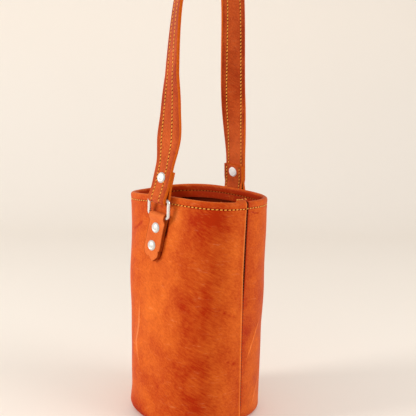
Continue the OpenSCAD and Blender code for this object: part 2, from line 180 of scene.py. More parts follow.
def finish_mesh(name, verts, faces, materials, tone=None, raw=None, zones=None, sharp=50):
    """A smooth closed mesh with its painted values. zones picks each face's material."""
    mesh = bpy.data.meshes.new(name)
    mesh.from_pydata([tuple(v) for v in verts], [], [tuple(f) for f in faces])
    for label, values in (("tone", tone), ("raw", raw)):
        layer = mesh.attributes.new(label, "FLOAT", "POINT")
        flat = np.zeros(len(verts)) if values is None else np.asarray(values, float).ravel()
        layer.data.foreach_set("value", flat.astype(np.float32))
    for material in materials:
        mesh.materials.append(material)
    if zones is not None:
        mesh.polygons.foreach_set("material_index", np.asarray(zones, np.int32))
    work = bmesh.new()
    work.from_mesh(mesh)
    bmesh.ops.remove_doubles(work, verts=work.verts, dist=1e-7)
    bmesh.ops.recalc_face_normals(work, faces=work.faces)
    if work.calc_volume(signed=True) < 0:
        bmesh.ops.reverse_faces(work, faces=work.faces)
    work.to_mesh(mesh)
    work.free()
    mesh.polygons.foreach_set("use_smooth", [True] * len(mesh.polygons))
    mesh.set_sharp_from_angle(angle=radians(sharp))
    print(f"{name}: {len(mesh.vertices)} points, {len(mesh.polygons)} faces")
    return put_in_scene(name, mesh)


def grid_faces(n, m, wrap_n, wrap_m):
    """Faces of an n by m grid of points, row by row."""
    rows, columns = np.arange(n if wrap_n else n - 1), np.arange(m if wrap_m else m - 1)
    i, j = np.meshgrid(rows, columns, indexing="ij")
    k, l = (i + 1) % n, (j + 1) % m
    return np.stack([i * m + j, k * m + j, k * m + l, i * m + l], -1).reshape(-1, 4)


def swept(name, points, materials, wrap_n=False, sharp=50):
    """The skin over a grid of points whose rows are closed."""
    faces = grid_faces(*points.shape[:2], wrap_n, True)
    return finish_mesh(name, points.reshape(-1, 3), faces, materials, sharp=sharp)


def hand_over(piece, slot, body, *nodes):
    """Hides the CAD nodes that a piece stands for and hangs it on the body it moves with. slot is not used.
    """
    if nodes:
        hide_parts(*nodes)
    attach(piece, body)

# %% Helpers for paths
def distances(path):
    """Distance along a path from its start to each point."""
    return np.concatenate([[0], np.cumsum(np.linalg.norm(np.diff(path, axis=0), axis=1))])


def unit(vectors):
    return vectors / np.linalg.norm(vectors, axis=-1, keepdims=True)


def headings(path):
    return unit(np.gradient(path, axis=0))


def upright_to(directions, headings_there):
    """Directions made square to the headings."""
    return unit(directions - (directions * headings_there).sum(-1)[..., None] * headings_there)

# %% [markdown]
# ## Shader groups
# Every leather here shares its build: broad clouds of dye, finer blotches, brushed
# streaks from the finishing, fine scratches and a pebbled grain. That is one node
# group with named inputs, and each leather gives it its own colours and scale. The
# group puts out only what changes over the surface.

# %% Node helpers
SCALAR, COLOUR, VECTOR = "NodeSocketFloat", "NodeSocketColor", "NodeSocketVector"


def new_tree(name, kind, inputs, outputs):
    """A node group with named inputs (label, kind, value) and outputs (label, kind)."""
    tree = bpy.data.node_groups.new(name, kind)
    for label, socket_type, value in inputs:
        socket = tree.interface.new_socket(label, in_out="INPUT", socket_type=socket_type)
        if value is not None:
            socket.default_value = value
    for label, socket_type in outputs:
        tree.interface.new_socket(label, in_out="OUTPUT", socket_type=socket_type)
    return tree, tree.nodes.new("NodeGroupInput"), tree.nodes.new("NodeGroupOutput")


def feed(tree, node, inputs):
    """Fills a node's inputs, each with a value or with a link to a socket."""
    for key, value in inputs.items():
        if isinstance(value, bpy.types.NodeSocket):
            tree.links.new(value, node.inputs[key])
        else:
            node.inputs[key].default_value = value


def add(tree, kind, inputs, **settings):
    node = tree.nodes.new(kind)
    for key, value in settings.items():
        setattr(node, key, value)
    feed(tree, node, inputs)
    return node


def put(tree, kind, inputs, **settings):
    """The first output of a new node."""
    return add(tree, kind, inputs, **settings).outputs[0]


def plus(tree, a, b, clamp=False):
    return put(tree, "ShaderNodeMath", {0: a, 1: b}, operation="ADD", use_clamp=clamp)


def times(tree, a, b, clamp=False):
    return put(tree, "ShaderNodeMath", {0: a, 1: b}, operation="MULTIPLY", use_clamp=clamp)


def mixed(tree, factor, a, b):
    """Colour a going to colour b."""
    return add(tree, "ShaderNodeMix", {0: factor, 6: a, 7: b}, data_type="RGBA").outputs[2]


def noise(tree, vector, scale, detail=3.0, roughness=0.5, distortion=0.0):
    return put(tree, "ShaderNodeTexNoise", {"Vector": vector, "Scale": scale, "Detail": detail,
                                            "Roughness": roughness, "Distortion": distortion})


def ranged(tree, value, low, high, to_low=0.0, to_high=1.0):
    return put(tree, "ShaderNodeMapRange", {0: value, 1: low, 2: high, 3: to_low, 4: to_high}, clamp=True)


def mapped(tree, vector, scale, rotation=(0.0, 0.0, 0.0)):
    return put(tree, "ShaderNodeMapping", {"Vector": vector, "Rotation": rotation, "Scale": scale})

# %% The leather group and its patterns
t, given, gives = new_tree(
    "leather_tone", "ShaderNodeTree",
    [("Position", VECTOR, None), ("Tone", SCALAR, 0.0), ("Raw", SCALAR, 0.0),
     ("Bright", COLOUR, (0.8, 0.3, 0.1, 1)), ("Deep", COLOUR, (0.5, 0.1, 0.02, 1)),
     ("Worn and Highlight", COLOUR, (0.9, 0.5, 0.3, 1)), ("Edge", COLOUR, (0.8, 0.3, 0.05, 1)),
     ("Cloud Scale", SCALAR, 14.0), ("Streak", SCALAR, 0.5), ("Gloss", SCALAR, 0.45)],
    [("Colour", COLOUR), ("Roughness", SCALAR), ("Height", SCALAR)])
leather_tone = t
where, tone, raw, streak = (given.outputs[label] for label in ("Position", "Tone", "Raw", "Streak"))
deep, worn_and_highlight = given.outputs["Deep"], given.outputs["Worn and Highlight"]
clouds = noise(t, where, given.outputs["Cloud Scale"], 3, 0.55, 0.7)
blotches = noise(t, where, 85.0, 5, 0.62, 0.4)
aslant = put(t, "ShaderNodeVectorRotate", {"Vector": where, "Rotation": (0.94, 0.62, 0.0)},
             rotation_type="EULER_XYZ")
slanted = mapped(t, aslant, (1.0, 1.0, 0.14))
streaks = noise(t, slanted, 700.0, 4, 0.62)
specks = noise(t, where, 1500.0, 2, 0.6)
lengthwise = mapped(t, where, (0.16, 0.16, 1.0), (0.3, 0.2, 0.0))
hairlines = ranged(t, noise(t, lengthwise, 620.0, 3, 0.6), 0.58, 0.72)

# %% From patterns to colour
# The painted tone darkens and lightens the dye, so it also paints shade and highlights. From 0.16 up it rubs
# the dye off, as real wear in some places and a painted highlight in others, and below -0.25 it is a painted
# shadow in a groove, under the hem or beside a tab.
RUBS_FROM, SHADOW_FROM, SHADOW_FULL = 0.16, -0.25, -1.1
dye_and_painted_light = plus(t, times(t, ranged(t, clouds, 0.33, 0.68), 0.42), times(t, ranged(t, blotches, 0.3, 0.7), 0.3))
brushed = times(t, ranged(t, streaks, 0.3, 0.7, -0.5, 0.5), times(t, streak, 0.36))
dye_and_painted_light = plus(t, plus(t, dye_and_painted_light, brushed), ranged(t, specks, 0.3, 0.7, 0.06, 0.2))
dye_and_painted_light = plus(t, dye_and_painted_light, ranged(t, tone, -0.35, 0.35, -0.65, 0.5), clamp=True)
colour = mixed(t, dye_and_painted_light, deep, given.outputs["Bright"])
rubbed_and_painted_light = times(t, ranged(t, tone, RUBS_FROM, 1.0), ranged(t, streaks, 0.2, 0.6, 0.6, 1.0), clamp=True)
colour = mixed(t, rubbed_and_painted_light, colour, worn_and_highlight)
scratched = times(t, times(t, hairlines, ranged(t, blotches, 0.45, 0.65)), times(t, streak, 0.24))
colour = mixed(t, scratched, colour, worn_and_highlight)
shaded = times(t, ranged(t, tone, SHADOW_FROM, SHADOW_FULL), 0.92)
colour = mixed(t, shaded, colour, (0.025, 0.005, 0.002, 1))
fibre = mixed(t, ranged(t, streaks, 0.25, 0.75, 0.0, 0.45), given.outputs["Edge"], deep)
feed(t, gives, {"Colour": mixed(t, raw, colour, fibre)})

# %% From patterns to gloss and relief
rough = plus(t, given.outputs["Gloss"], ranged(t, blotches, 0.3, 0.7, -0.07, 0.07))
feed(t, gives, {"Roughness": plus(t, rough, times(t, raw, 0.25), clamp=True)})
pebbles = put(t, "ShaderNodeTexVoronoi", {"Vector": where, "Scale": 1100.0, "Randomness": 0.9},
              feature="SMOOTH_F1")
wrinkles = noise(t, slanted, 160.0, 4, 0.55, 0.3)
height = plus(t, times(t, pebbles, 0.35), times(t, wrinkles, 0.75))
feed(t, gives, {"Height": plus(t, height, times(t, specks, 0.2))})
print("leather_tone nodes:", len(t.nodes))

# %% [markdown]
# ## The leathers, thread and metal
# The body is a saturated orange tan, the strap a redder, slightly darker cut of the
# same hide, and the inside is the darker flesh side. The tabs take the strap's leather
# painted lighter for the light on them, with cut edges painted dark brown for shade; other
# cut edges are a bright orange. The thread is old gold, duller inside and dark along the seam, and
# rings and rivets are bright nickel, with the inner caps a plain white painted to look lit.

# %% Leather materials
def srgb(r, g, b):
    """A colour from the 0 to 255 numbers of a picture editor."""
    linear = [c / 255 / 12.92 if c <= 10 else ((c / 255 + 0.055) / 1.055) ** 2.4 for c in (r, g, b)]
    return (*linear, 1.0)


def new_material(name):
    """A material, its tree, its shader and the place on the piece."""
    material = bpy.data.materials.new(name)
    material.use_nodes = True
    tree = material.node_tree
    tree.nodes.clear()
    shader = tree.nodes.new("ShaderNodeBsdfPrincipled")
    out = tree.nodes.new("ShaderNodeOutputMaterial")
    tree.links.new(shader.outputs[0], out.inputs[0])
    return material, tree, shader, tree.nodes.new("ShaderNodeTexCoord").outputs["Object"]


def raise_surface(tree, shader, height, strength, distance):
    bump = put(tree, "ShaderNodeBump", {"Strength": strength, "Distance": distance, "Height": height})
    feed(tree, shader, {"Normal": bump})


def leather(name, dyes, cloud_scale, streak, gloss, grain, shine, relief=0.4 * MM):
    """dyes are the colours of bright and deep places, of worn places and painted highlights, and of cut
    edges.
    """
    material, tree, shader, where = new_material(name)
    inputs = {"Position": where, "Cloud Scale": cloud_scale, "Streak": streak, "Gloss": gloss}
    for label in ("tone", "raw"):
        inputs[label.title()] = add(tree, "ShaderNodeAttribute", {}, attribute_name=label).outputs["Fac"]
    inputs.update(zip(("Bright", "Deep", "Worn and Highlight", "Edge"), (srgb(*dye_and_painted_light) for dye_and_painted_light in dyes)))
    group = add(tree, "ShaderNodeGroup", inputs, node_tree=leather_tone)
    feed(tree, shader, {"Base Color": group.outputs["Colour"], "Roughness": group.outputs["Roughness"],
                        "Specular IOR Level": shine, "Specular Tint": (1.0, 0.55, 0.22, 1)})
    raise_surface(tree, shader, group.outputs["Height"], grain, relief)
    return material


body_leather = leather("body_leather", ((233, 117, 40), (173, 42, 7), (244, 168, 118), (232, 118, 30)),
                       cloud_scale=15.0, streak=1.0, gloss=0.55, grain=0.5, shine=0.14)
strap_leather = leather("strap_leather", ((218, 98, 42), (152, 42, 12), (226, 140, 92), (218, 102, 18)),
                        cloud_scale=24.0, streak=0.9, gloss=0.5, grain=1.0, shine=0.2, relief=1.1 * MM)
# The tab is the strap's leather painted lighter, for the light that falls on it, and its cut edge is painted
# dark brown, for the shade on it.
tab_leather_painted_light = leather("tab_leather_painted_light", ((239, 130, 62), (196, 76, 27), (240, 164, 116), (150, 60, 14)),
                      cloud_scale=24.0, streak=0.8, gloss=0.55, grain=0.7, shine=0.18)
flesh_leather = leather("flesh_leather", ((222, 80, 29), (160, 44, 13), (214, 116, 68), (190, 90, 30)),
                        cloud_scale=30.0, streak=0.3, gloss=0.8, grain=0.7, shine=0.05)

# %% Thread, needle holes and nickel
def thread_material(name, light, dark, sheen=0.15, shine=0.4):
    material, tree, shader, where = new_material(name)
    fibres = noise(tree, where, 2600.0, 3, 0.6)
    base = mixed(tree, ranged(tree, fibres, 0.35, 0.65), srgb(*dark), srgb(*light))
    feed(tree, shader, {"Base Color": base, "Roughness": 0.6, "Sheen Weight": sheen,
                        "Specular IOR Level": shine})
    raise_surface(tree, shader, fibres, 0.6, 0.2 * MM)
    return material


def metal(name, dark, light, smoothest, roughest, metallic):
    material, tree, shader, where = new_material(name)
    smears = noise(tree, where, 220.0, 4, 0.6)
    brushing = noise(tree, mapped(tree, where, (1.0, 6.0, 0.4)), 1600.0, 3, 0.6)
    feed(tree, shader, {"Base Color": mixed(tree, smears, srgb(*dark), srgb(*light)), "Metallic": metallic,
                        "Roughness": ranged(tree, smears, 0.3, 0.7, smoothest, roughest)})
    raise_surface(tree, shader, brushing, 0.12, 0.1 * MM)
    return material


gold_thread = thread_material("gold_thread", (255, 192, 66), (226, 136, 34))
dull_thread = thread_material("dull_thread", (204, 104, 26), (146, 62, 10), sheen=0.0, shine=0.15)
dark_thread = thread_material("dark_thread", (96, 34, 10), (50, 15, 5))
# The needle holes are flat dark lenses: painted shadow in the holes.
needle_hole_shadow = thread_material("needle_hole_shadow", (64, 12, 3), (34, 6, 2), sheen=0.0, shine=0.0)
nickel = metal("nickel", (196, 195, 192), (220, 219, 216), 0.32, 0.5, 0.55)
ring_nickel = metal("ring_nickel", (216, 215, 212), (236, 235, 232), 0.2, 0.32, 0.85)
# The inner caps take a plain white copy of the nickel: painted light, so they look lit where the nickel
# would show the dark mouth.
nickel_painted_lit = metal("nickel_painted_lit", (242, 240, 236), (250, 249, 246), 0.4, 0.55, 0.0)
print("materials:", sorted(m.name for m in bpy.data.materials))

# %% [markdown]
# ## The tube
# Real leather of this weight stands by itself but isn't a perfect form: it sags
# into soft dents, and folds leave thin rubbed lines. The tube is one closed skin:
# up the outside, over the folded rim, down inside the hem and back to the turned
# foot. Dents move both faces together, so the leather keeps its thickness, and
# seam, hem and creases are shaped on the face that shows them.

# %% Directions round the tube, close together at the seam and beside the left tab
SEAM_TOP, SEAM_TURN = 264.2, 5.0     # degrees: the seam drifts a little towards the foot
NEAR, TAB_FROM, TAB_TO = 11, 271, 291     # degrees from the seam
FINE, COARSE = 0.34, 0.9     # degrees
near_seam = np.arange(-NEAR, NEAR, FINE)
away = [np.arange(start, end, step) for start, end, step in (
    (NEAR, TAB_FROM, COARSE), (TAB_FROM, TAB_TO, COARSE / 2), (TAB_TO, 360 - NEAR, COARSE))]
turns = np.concatenate([near_seam, *away])
print("directions:", len(turns))


def azimuth(turn, z):
    """Direction in radians of a place turn degrees away from the seam."""
    return np.radians(SEAM_TOP + SEAM_TURN * (1 - z / BAG_H) ** 3 + turn)

# %% Where the leather is creased, stained and dented, and where shade and light are painted on it
# A crease's negative tone is painted shade in it, and the two lines with no depth are painted shadows beside
# the left tab's edge, below its ring.
CREASES_AND_PAINTED_SHADOWS = [  # places as (degrees, height in mm), then depth in mm, width in mm, tone
    ([(151.9, 112), (151.8, 81.6), (149, 66), (153, 54), (160, 43)], 0.35, 1.3, 0.36),
    ([(293, 92), (286, 80), (280, 69), (273, 55)], 0.35, 1.2, 0.55),
    ([(299, 34), (291, 22), (286, 12)], 0.3, 1.3, 0.35),
    ([(189.2, 177), (188.6, 173), (182.6, 151), (181, 147), (176, 142)], 0.0, 2.4, -1.0),
    ([(190.6, 182), (190, 178), (188.6, 170), (186.5, 162)], 0.0, 4.5, -1.3),
    ([(270, 189), (274, 187.4), (280, 186.6)], -0.5, 1.1, -0.5),
    ([(136, 166), (144, 169.5), (153, 175)], -0.35, 2.4, -0.22),
    ([(238, 107), (252, 101), (258, 98)], -0.35, 1.6, -0.15),
    ([(246, 61.5), (256, 57.5), (259.5, 57.5)], -0.4, 1.5, -0.2),
    ([(40, 60), (48, 74), (52, 96)], 0.4, 1.5, 0.2),
    ([(92, 128), (84, 112), (82, 88)], 0.35, 1.6, 0.15),
    ([(20, 34), (34, 26), (50, 24)], -0.4, 1.5, -0.2)]
# Stains mixed with painted shade and light: the dark places at 223 to 237 degrees are painted shade on the
# side facing the camera, between the two lamps; the dark places at the foot are painted shade by the floor;
# the light place at 203 degrees, 183 mm is painted light in the ring's shadow.
STAINS_AND_PAINTED_LIGHT = [  # direction, height in mm, tone, spread in degrees, spread in mm
    (234, 150, -0.1, 19, 50), (224, 40, -0.05, 18, 36), (225, 118, -0.12, 9, 8), (232, 125, -0.08, 8, 6),
    (237, 106, -0.08, 9, 7), (223, 56, -0.07, 9, 11), (224, 18, -0.15, 16, 14), (226, 188, -0.19, 21, 14),
    (243, 124, 0.08, 10, 14), (166, 84, 0.1, 14, 44), (198, 150, 0.04, 10, 30), (272, 84, -0.1, 9, 12),
    (176, 186, 0.1, 24, 24), (240, 76, 0.14, 13, 16), (254, 162, 0.2, 6, 18), (273, 168, 0.12, 12, 20),
    (203, 183, 0.24, 9, 11), (203, 144, -0.15, 6, 12), (212, 118, -0.14, 8, 38), (148, 74, 0.2, 8, 24),
    (156, 7, -0.33, 16, 10), (160, 108, 0.06, 8, 36), (256, 86, 0.12, 6, 24), (250, 132, 0.1, 7, 14),
    (294, 18, 0.16, 14, 14)]
DENTS = [  # direction, height in mm, how far out in mm, spread in degrees, spread in mm
    (136, 126, 1.9, 16, 26), (136, 74, 0.5, 12, 14), (142, 40, 1.2, 14, 26), (311, 112, 1.5, 14, 22),
    (300, 78, -0.2, 12, 12), (290, 62, 0.5, 12, 12), (141, 8, 1.9, 16, 10), (225, 120, -0.9, 26, 34),
    (205, 60, 0.8, 22, 30), (245, 70, -0.7, 16, 26), (60, 90, -1.4, 24, 34), (100, 130, -1.0, 22, 30),
    (30, 50, 0.9, 22, 26), (330, 120, -0.9, 18, 30), (95, 45, 0.8, 24, 24)]
WAVES = [(0.35, 3, 0.7, 22), (0.25, 5, 0, -31), (0.12, 9, 0, 60)]     # mm, waves round, start, climb
print("creases, stains and dents:", len(CREASES_AND_PAINTED_SHADOWS), len(STAINS_AND_PAINTED_LIGHT), len(DENTS))

# %% Dents and creases
MM_PER_DEGREE = 0.96     # along the leather at mid height
# The leather keeps its form below the first height and above the other two.
FOOT_FIRM, TAB_FIRM, RIM_FIRM = 9 * MM, 128 * MM, 165 * MM


def soft_spots(az, z, places):
    """The sum of soft round spots, each with its own strength."""
    return sum(strength * bell(apart(az, centre), wide) * bell(z / MM - high, tall)
               for centre, high, strength, wide, tall in places)


def near_line(az, z, line):
    """Distance in mm to a crease's line, and a share that fades at its ends."""
    best, along = np.full(np.shape(az), 1e3), np.zeros(np.shape(az))
    place = np.stack([np.degrees(az) % 360 * MM_PER_DEGREE, z / MM + 0 * az], -1)
    corners = np.array(line) * (MM_PER_DEGREE, 1)
    for k, (start, way) in enumerate(zip(corners, np.diff(corners, axis=0))):
        share = np.clip(((place - start) @ way) / (way @ way), 0, 1)
        gap = np.linalg.norm(place - start - share[..., None] * way, axis=-1)
        along = np.where(gap < best, (k + share) / (len(line) - 1), along)
        best = np.minimum(gap, best)
    return best, smooth_step(np.minimum(along, 1 - along) * 5)


def sag(az, z):
    """How far the leather stands out of its plain outline, in metres."""
    out = soft_spots(az, z, DENTS)
    out = out + sum(deep * np.sin(n * az + start + climb * z) for deep, n, start, climb in WAVES)
    out = out * smooth_step(z / FOOT_FIRM) * (1 - 0.6 * smooth_step((z - RIM_FIRM) / (30 * MM)))
    for centre in (0, 180):     # the leather is flat behind the tabs
        out = out * (1 - bell(apart(az, centre), 16) * smooth_step((z - TAB_FIRM) / (16 * MM)))
    return out * MM


def crease_shape(az, z):
    """Depth of the creases in metres, and the tone of creases and stains with their painted shade and light.
    """
    depth, tone = 0.0, soft_spots(az, z, STAINS_AND_PAINTED_LIGHT)
    for line, deep, width, rubbed_and_painted_light in CREASES_AND_PAINTED_SHADOWS:
        gap, fade = near_line(az, z, line)
        depth = depth + deep * bell(gap, width) * fade
        tone = tone + rubbed_and_painted_light * bell(gap, width * 0.34) * fade
    return depth * MM, tone

# %% Seam and hem
# Here s is the distance from the seam and below the distance from the rim, in mm.
WALL_T = 1.9 * MM
HEM_DEPTH, HEM_ROW = 12.4 * MM, 6 * MM
SEAM_ALLOWANCE = 7 * MM
GROOVE_DEEP, GROOVE_SHALLOW, DEEP_FROM, DEEP_OVER = 1.4, 0.65, 101, 36     # mm
# The rim's edge carries a painted highlight, strongest at SHINE.
SHINE = -92     # degrees from the seam to where the rim's edge shines


def across_seam(turn, z):
    """Distance from the seam in mm, along the leather."""
    return np.radians((turn + 180) % 360 - 180) * reach(azimuth(turn, z), z) / MM


def outer_detail(turn, z):
    """Height of the outer face's detail in metres, and its tone, which paints shade and highlights."""
    s, below = across_seam(turn, z), (BAG_H - z) / MM
    from_row = below - HEM_ROW / MM
    upper = smooth_step((z / MM - DEEP_FROM) / DEEP_OVER)     # where the groove is deep
    beside = smooth_step(s / 0.9)
    behind = sum(bell(apart(azimuth(turn, z), centre), 17) for centre in (0, 180))
    seam = 0.55 * bell(s + 1.6, 1.1) - 0.6 * beside * bell(s, 15)
    groove = GROOVE_SHALLOW + (GROOVE_DEEP - GROOVE_SHALLOW) * upper
    groove = groove * bell(s - 0.3, 0.55 + 0.55 * upper)
    hem = 0.28 * bell(from_row + 3, 2.2) - 0.34 * bell(from_row, 0.75) + 0.16 * bell(from_row - 2.6, 1.2)
    pressed = 0.5 * behind * smooth_step((16 - below) / 10)     # by the straps
    # Painted shade: dark in the seam's groove, a little darker right of the seam, dark along the hem's row
    # and darker at the foot. Painted highlights: the edge left of the seam and the rim's edge.
    tone = -(0.25 + 2.05 * upper) * bell(s - 0.7, 0.55 + 0.5 * upper) + 0.28 * bell(s + 1.9, 0.9)
    tone = tone - 0.1 * beside * bell(s, 9) - 0.6 * bell(from_row, 0.55) - 0.25 * bell(z / MM, 5)
    tone = tone + 0.45 * bell(below, 1) * np.clip(np.cos(np.radians(turn - SHINE)), 0, 1) ** 2
    return (seam - groove + hem - pressed) * MM, tone


def inner_detail(turn, z):
    """How far the inner face's detail stands inwards in metres, and its tone, which is painted shade."""
    s, below = across_seam(turn, z), (BAG_H - z) / MM
    from_row = below - HEM_ROW / MM
    allowance = smooth_step(SEAM_ALLOWANCE / MM - np.abs(s))
    inwards = 1.8 * allowance * (1 - 0.75 * bell(s, 0.6))
    inwards = inwards + 0.2 * bell(below - 3, 2) - 0.3 * bell(from_row, 0.7)
    # Painted shade: dark in the seam's groove and along the hem's row, and darker everywhere below the rim's
    # very edge.
    tone = -0.6 * bell(s, 0.6) * allowance - 0.3 * bell(from_row, 0.5) - 0.3 * smooth_step(below / 2.5)
    under_hem = below - HEM_DEPTH / MM
    tone = tone - 0.9 * bell(under_hem - 2.6, 2.2) - 0.2 * smooth_step(under_hem / 2.5)     # its shadow
    return inwards * MM, tone


def tube_points(turn, z, inset, face):
    """Points of the tube's skin, with their tone. face is 1 outside and -1 inside."""
    az, s, below = azimuth(turn, z), across_seam(turn, z), (BAG_H - z) / MM
    crease, rubbed_and_painted_light = crease_shape(az, z)
    out_by, out_tone = outer_detail(turn, z)
    in_by, in_tone = inner_detail(turn, z)
    outside, inside = np.clip(face, 0, 1), np.clip(-face, 0, 1)
    lump = smooth_step((s + 12) / 3) * smooth_step((3 - s) / 1.6)     # folded layers beside the seam
    lump = lump * bell(below, 4) * smooth_step((0.6 - face) / 0.9) * MM
    r = reach(az, z, inset) + sag(az, z) + (crease + out_by) * outside - in_by * inside - lump
    points = np.stack([r * np.cos(az), r * np.sin(az), lifted(az, z) + 1.7 * lump], -1)
    return points, (rubbed_and_painted_light + out_tone) * outside + in_tone * inside

# %% The tube's profile
OUT, IN = 0, 1     # zones of the two materials
HEM_END, FINE_FROM = BAG_H - HEM_DEPTH, BAG_H - 13 * MM
INNER_ROUND = EDGE_ROUND - WALL_T
FOOT = EDGE_ROUND + 0.475 * MM     # where the edge that is turned up inside starts
profile = []     # inset, height, face, zone
for a in np.linspace(0, pi / 2, 9)[:-1]:     # the rounded foot
    profile.append((EDGE_ROUND * (1 - sin(a)), EDGE_ROUND * (1 - cos(a)), sin(a), OUT))
side = np.arange(EDGE_ROUND, FINE_FROM, 2.1 * MM), np.arange(FINE_FROM, BAG_H - WALL_T, 0.55 * MM)
profile += [(0, z, 1, OUT) for z in np.concatenate(side)]
for a in np.linspace(0, pi, 9):     # the fold at the rim
    profile.append((WALL_T * (1 - cos(a)), BAG_H + WALL_T * (sin(a) - 1), cos(a), OUT))
profile += [(2 * WALL_T, z, -1, OUT) for z in np.arange(BAG_H - 2.6 * MM, HEM_END, -0.7 * MM)]
profile += [(2 * WALL_T - 0.3 * MM, HEM_END - 0.1 * MM, -1, OUT), (WALL_T, HEM_END - 0.2 * MM, -1, IN)]
profile += [(WALL_T, z, -1, IN) for z in np.linspace(HEM_END - 1.2 * MM, EDGE_ROUND, 44)]
for a in np.linspace(pi / 2, 0, 6)[1:]:
    profile.append((EDGE_ROUND - INNER_ROUND * sin(a), EDGE_ROUND - INNER_ROUND * cos(a),
                    -sin(a), IN))
profile += [(FOOT, WALL_T, 0, IN), (FOOT, ALLOWANCE, 0, IN), (FOOT + WALL_T, ALLOWANCE, 0, IN),
            (FOOT + WALL_T, 0.5 * MM, 0, IN), (FOOT + WALL_T - 0.5 * MM, 0, 0, OUT)]
print("points in the profile:", len(profile))

# %% The tube's skin
inset, height, face, zone = np.array(profile, float).T
points, tone = tube_points(*np.broadcast_arrays(turns[:, None], height, inset, face))
n, m = tone.shape
faces = grid_faces(n, m, True, True)
zones = np.tile(zone, n)[faces].max(1)
bag_wall = finish_mesh("bag_wall", points.reshape(-1, 3), faces, [body_leather, flesh_leather],
                       tone=tone, zones=zones)
hand_over(bag_wall, "body_leather", "bag", "wall_panel")

# %% [markdown]
# ## The base
# The base is a round of heavier leather. Its edge is turned up inside and sewn to
# the turned-in foot of the tube, so from below only a fine joint shows.

# %% The base panel
BASE_T = 2.2 * MM
BASE_IN = FOOT + WALL_T + 0.2 * MM
az = np.radians(np.linspace(0, 360, 144, endpoint=False))
turned_up = [(0.4 * MM, 0), (0, 0.5 * MM), (0, ALLOWANCE - 0.6 * MM), (0.5 * MM, ALLOWANCE),
             (WALL_T - 0.4 * MM, ALLOWANCE), (WALL_T, ALLOWANCE - 0.6 * MM),
             (WALL_T + 0.1 * MM, BASE_T + 1.6 * MM), (WALL_T + 1.4 * MM, BASE_T + 0.2 * MM)]
base_profile = [(share, 0, 0) for share in np.linspace(0, 0.94, 12)]     # share, drawn in by, height
base_profile += [(1, drawn_in, z) for drawn_in, z in turned_up]
base_profile += [(share, 0, BASE_T) for share in np.linspace(0.9, 0, 12)]
rows = []
for share, drawn_in, z in base_profile:
    r = reach(az, 0.0, BASE_IN + drawn_in) * share
    bulge = 0.25 * MM * np.sin(3 * az + 1) * share if share < 1 and z > 0 else 0 * az
    rows.append(np.stack([r * np.cos(az), r * np.sin(az), z + bulge], -1))
base = swept("base", np.array(rows), [flesh_leather])
hand_over(base, "inner_leather", "bag", "base_panel")

# %% [markdown]
# ## Strips of leather
# Strap, tabs and patches are all strips that follow a path. Each station on the
# path has a middle, a direction that its outer face looks in, and a direction
# across. The section is a flat outline with rounded corners. The strap's section
# also has a sunk line along each row of stitches, and a fine joint between its
# two plies at the edges.

# %% Sections
ROW_SUNK = 0.26 * MM     # how deep a row of stitches lies in the leather
# Factors that mirror a section's points to the strip's other face or its other edge.
OTHER_FACE, OTHER_EDGE = (1, 1, 1, 1, -1, 1, 1), (-1, -1, 1, 1, -1, 1, 1)


def section(thick, plies=1, sewn=False, corner=0.35 * MM):
    """A closed outline. Each point has four factors for its place across the strip
    (of the half width, of 1, of the left row's inset, of the right row's inset),
    then its depth, raw edge and tone."""
    half = thick / 2
    left = [(-1, corner + k * MM, 0, 0, half - 0.16 * MM * bell(k, 0.5), 0.7 * (k == 0),
             -0.2 * (sewn and k > 0)) for k in (0, 0.45, 1.1)]
    if sewn:
        # A row's sunk line is painted dark as well: painted shade in its groove.
        left += [(-1, k * MM, 1, 0, half - ROW_SUNK * bell(k, 0.42), 0, -0.42 * bell(k, 0.42))
                 for k in (-0.8, -0.35, 0, 0.35, 0.8)]
    middle = [(2 * k - 1, 1.2 * MM * (1 - 2 * k), 1 - k, -k, half + 0.1 * MM * sin(pi * k), 0, 0)
              for k in np.linspace(0, 1, 6)]
    right = [(1, -fixed, 0, -of_row, *others) for _, fixed, of_row, _, *others in left[::-1]]
    edge = [(1, -corner * (1 - sin(a)), 0, 0, half - corner * (1 - cos(a)), 1, 0)
            for a in (0.7, 1.57)]
    if plies == 2:
        edge += [(1, 0, 0, 0, 0.22 * MM, 1, -0.1), (1, -0.22 * MM, 0, 0, 0, 1, -0.85)]
    upper, edge = np.array(left + middle + right), np.array(edge)
    edge = np.concatenate([edge, (edge[edge[:, 4] > 0] * OTHER_FACE)[::-1]])
    return np.concatenate([upper, edge, (upper * OTHER_FACE)[::-1], edge * OTHER_EDGE])

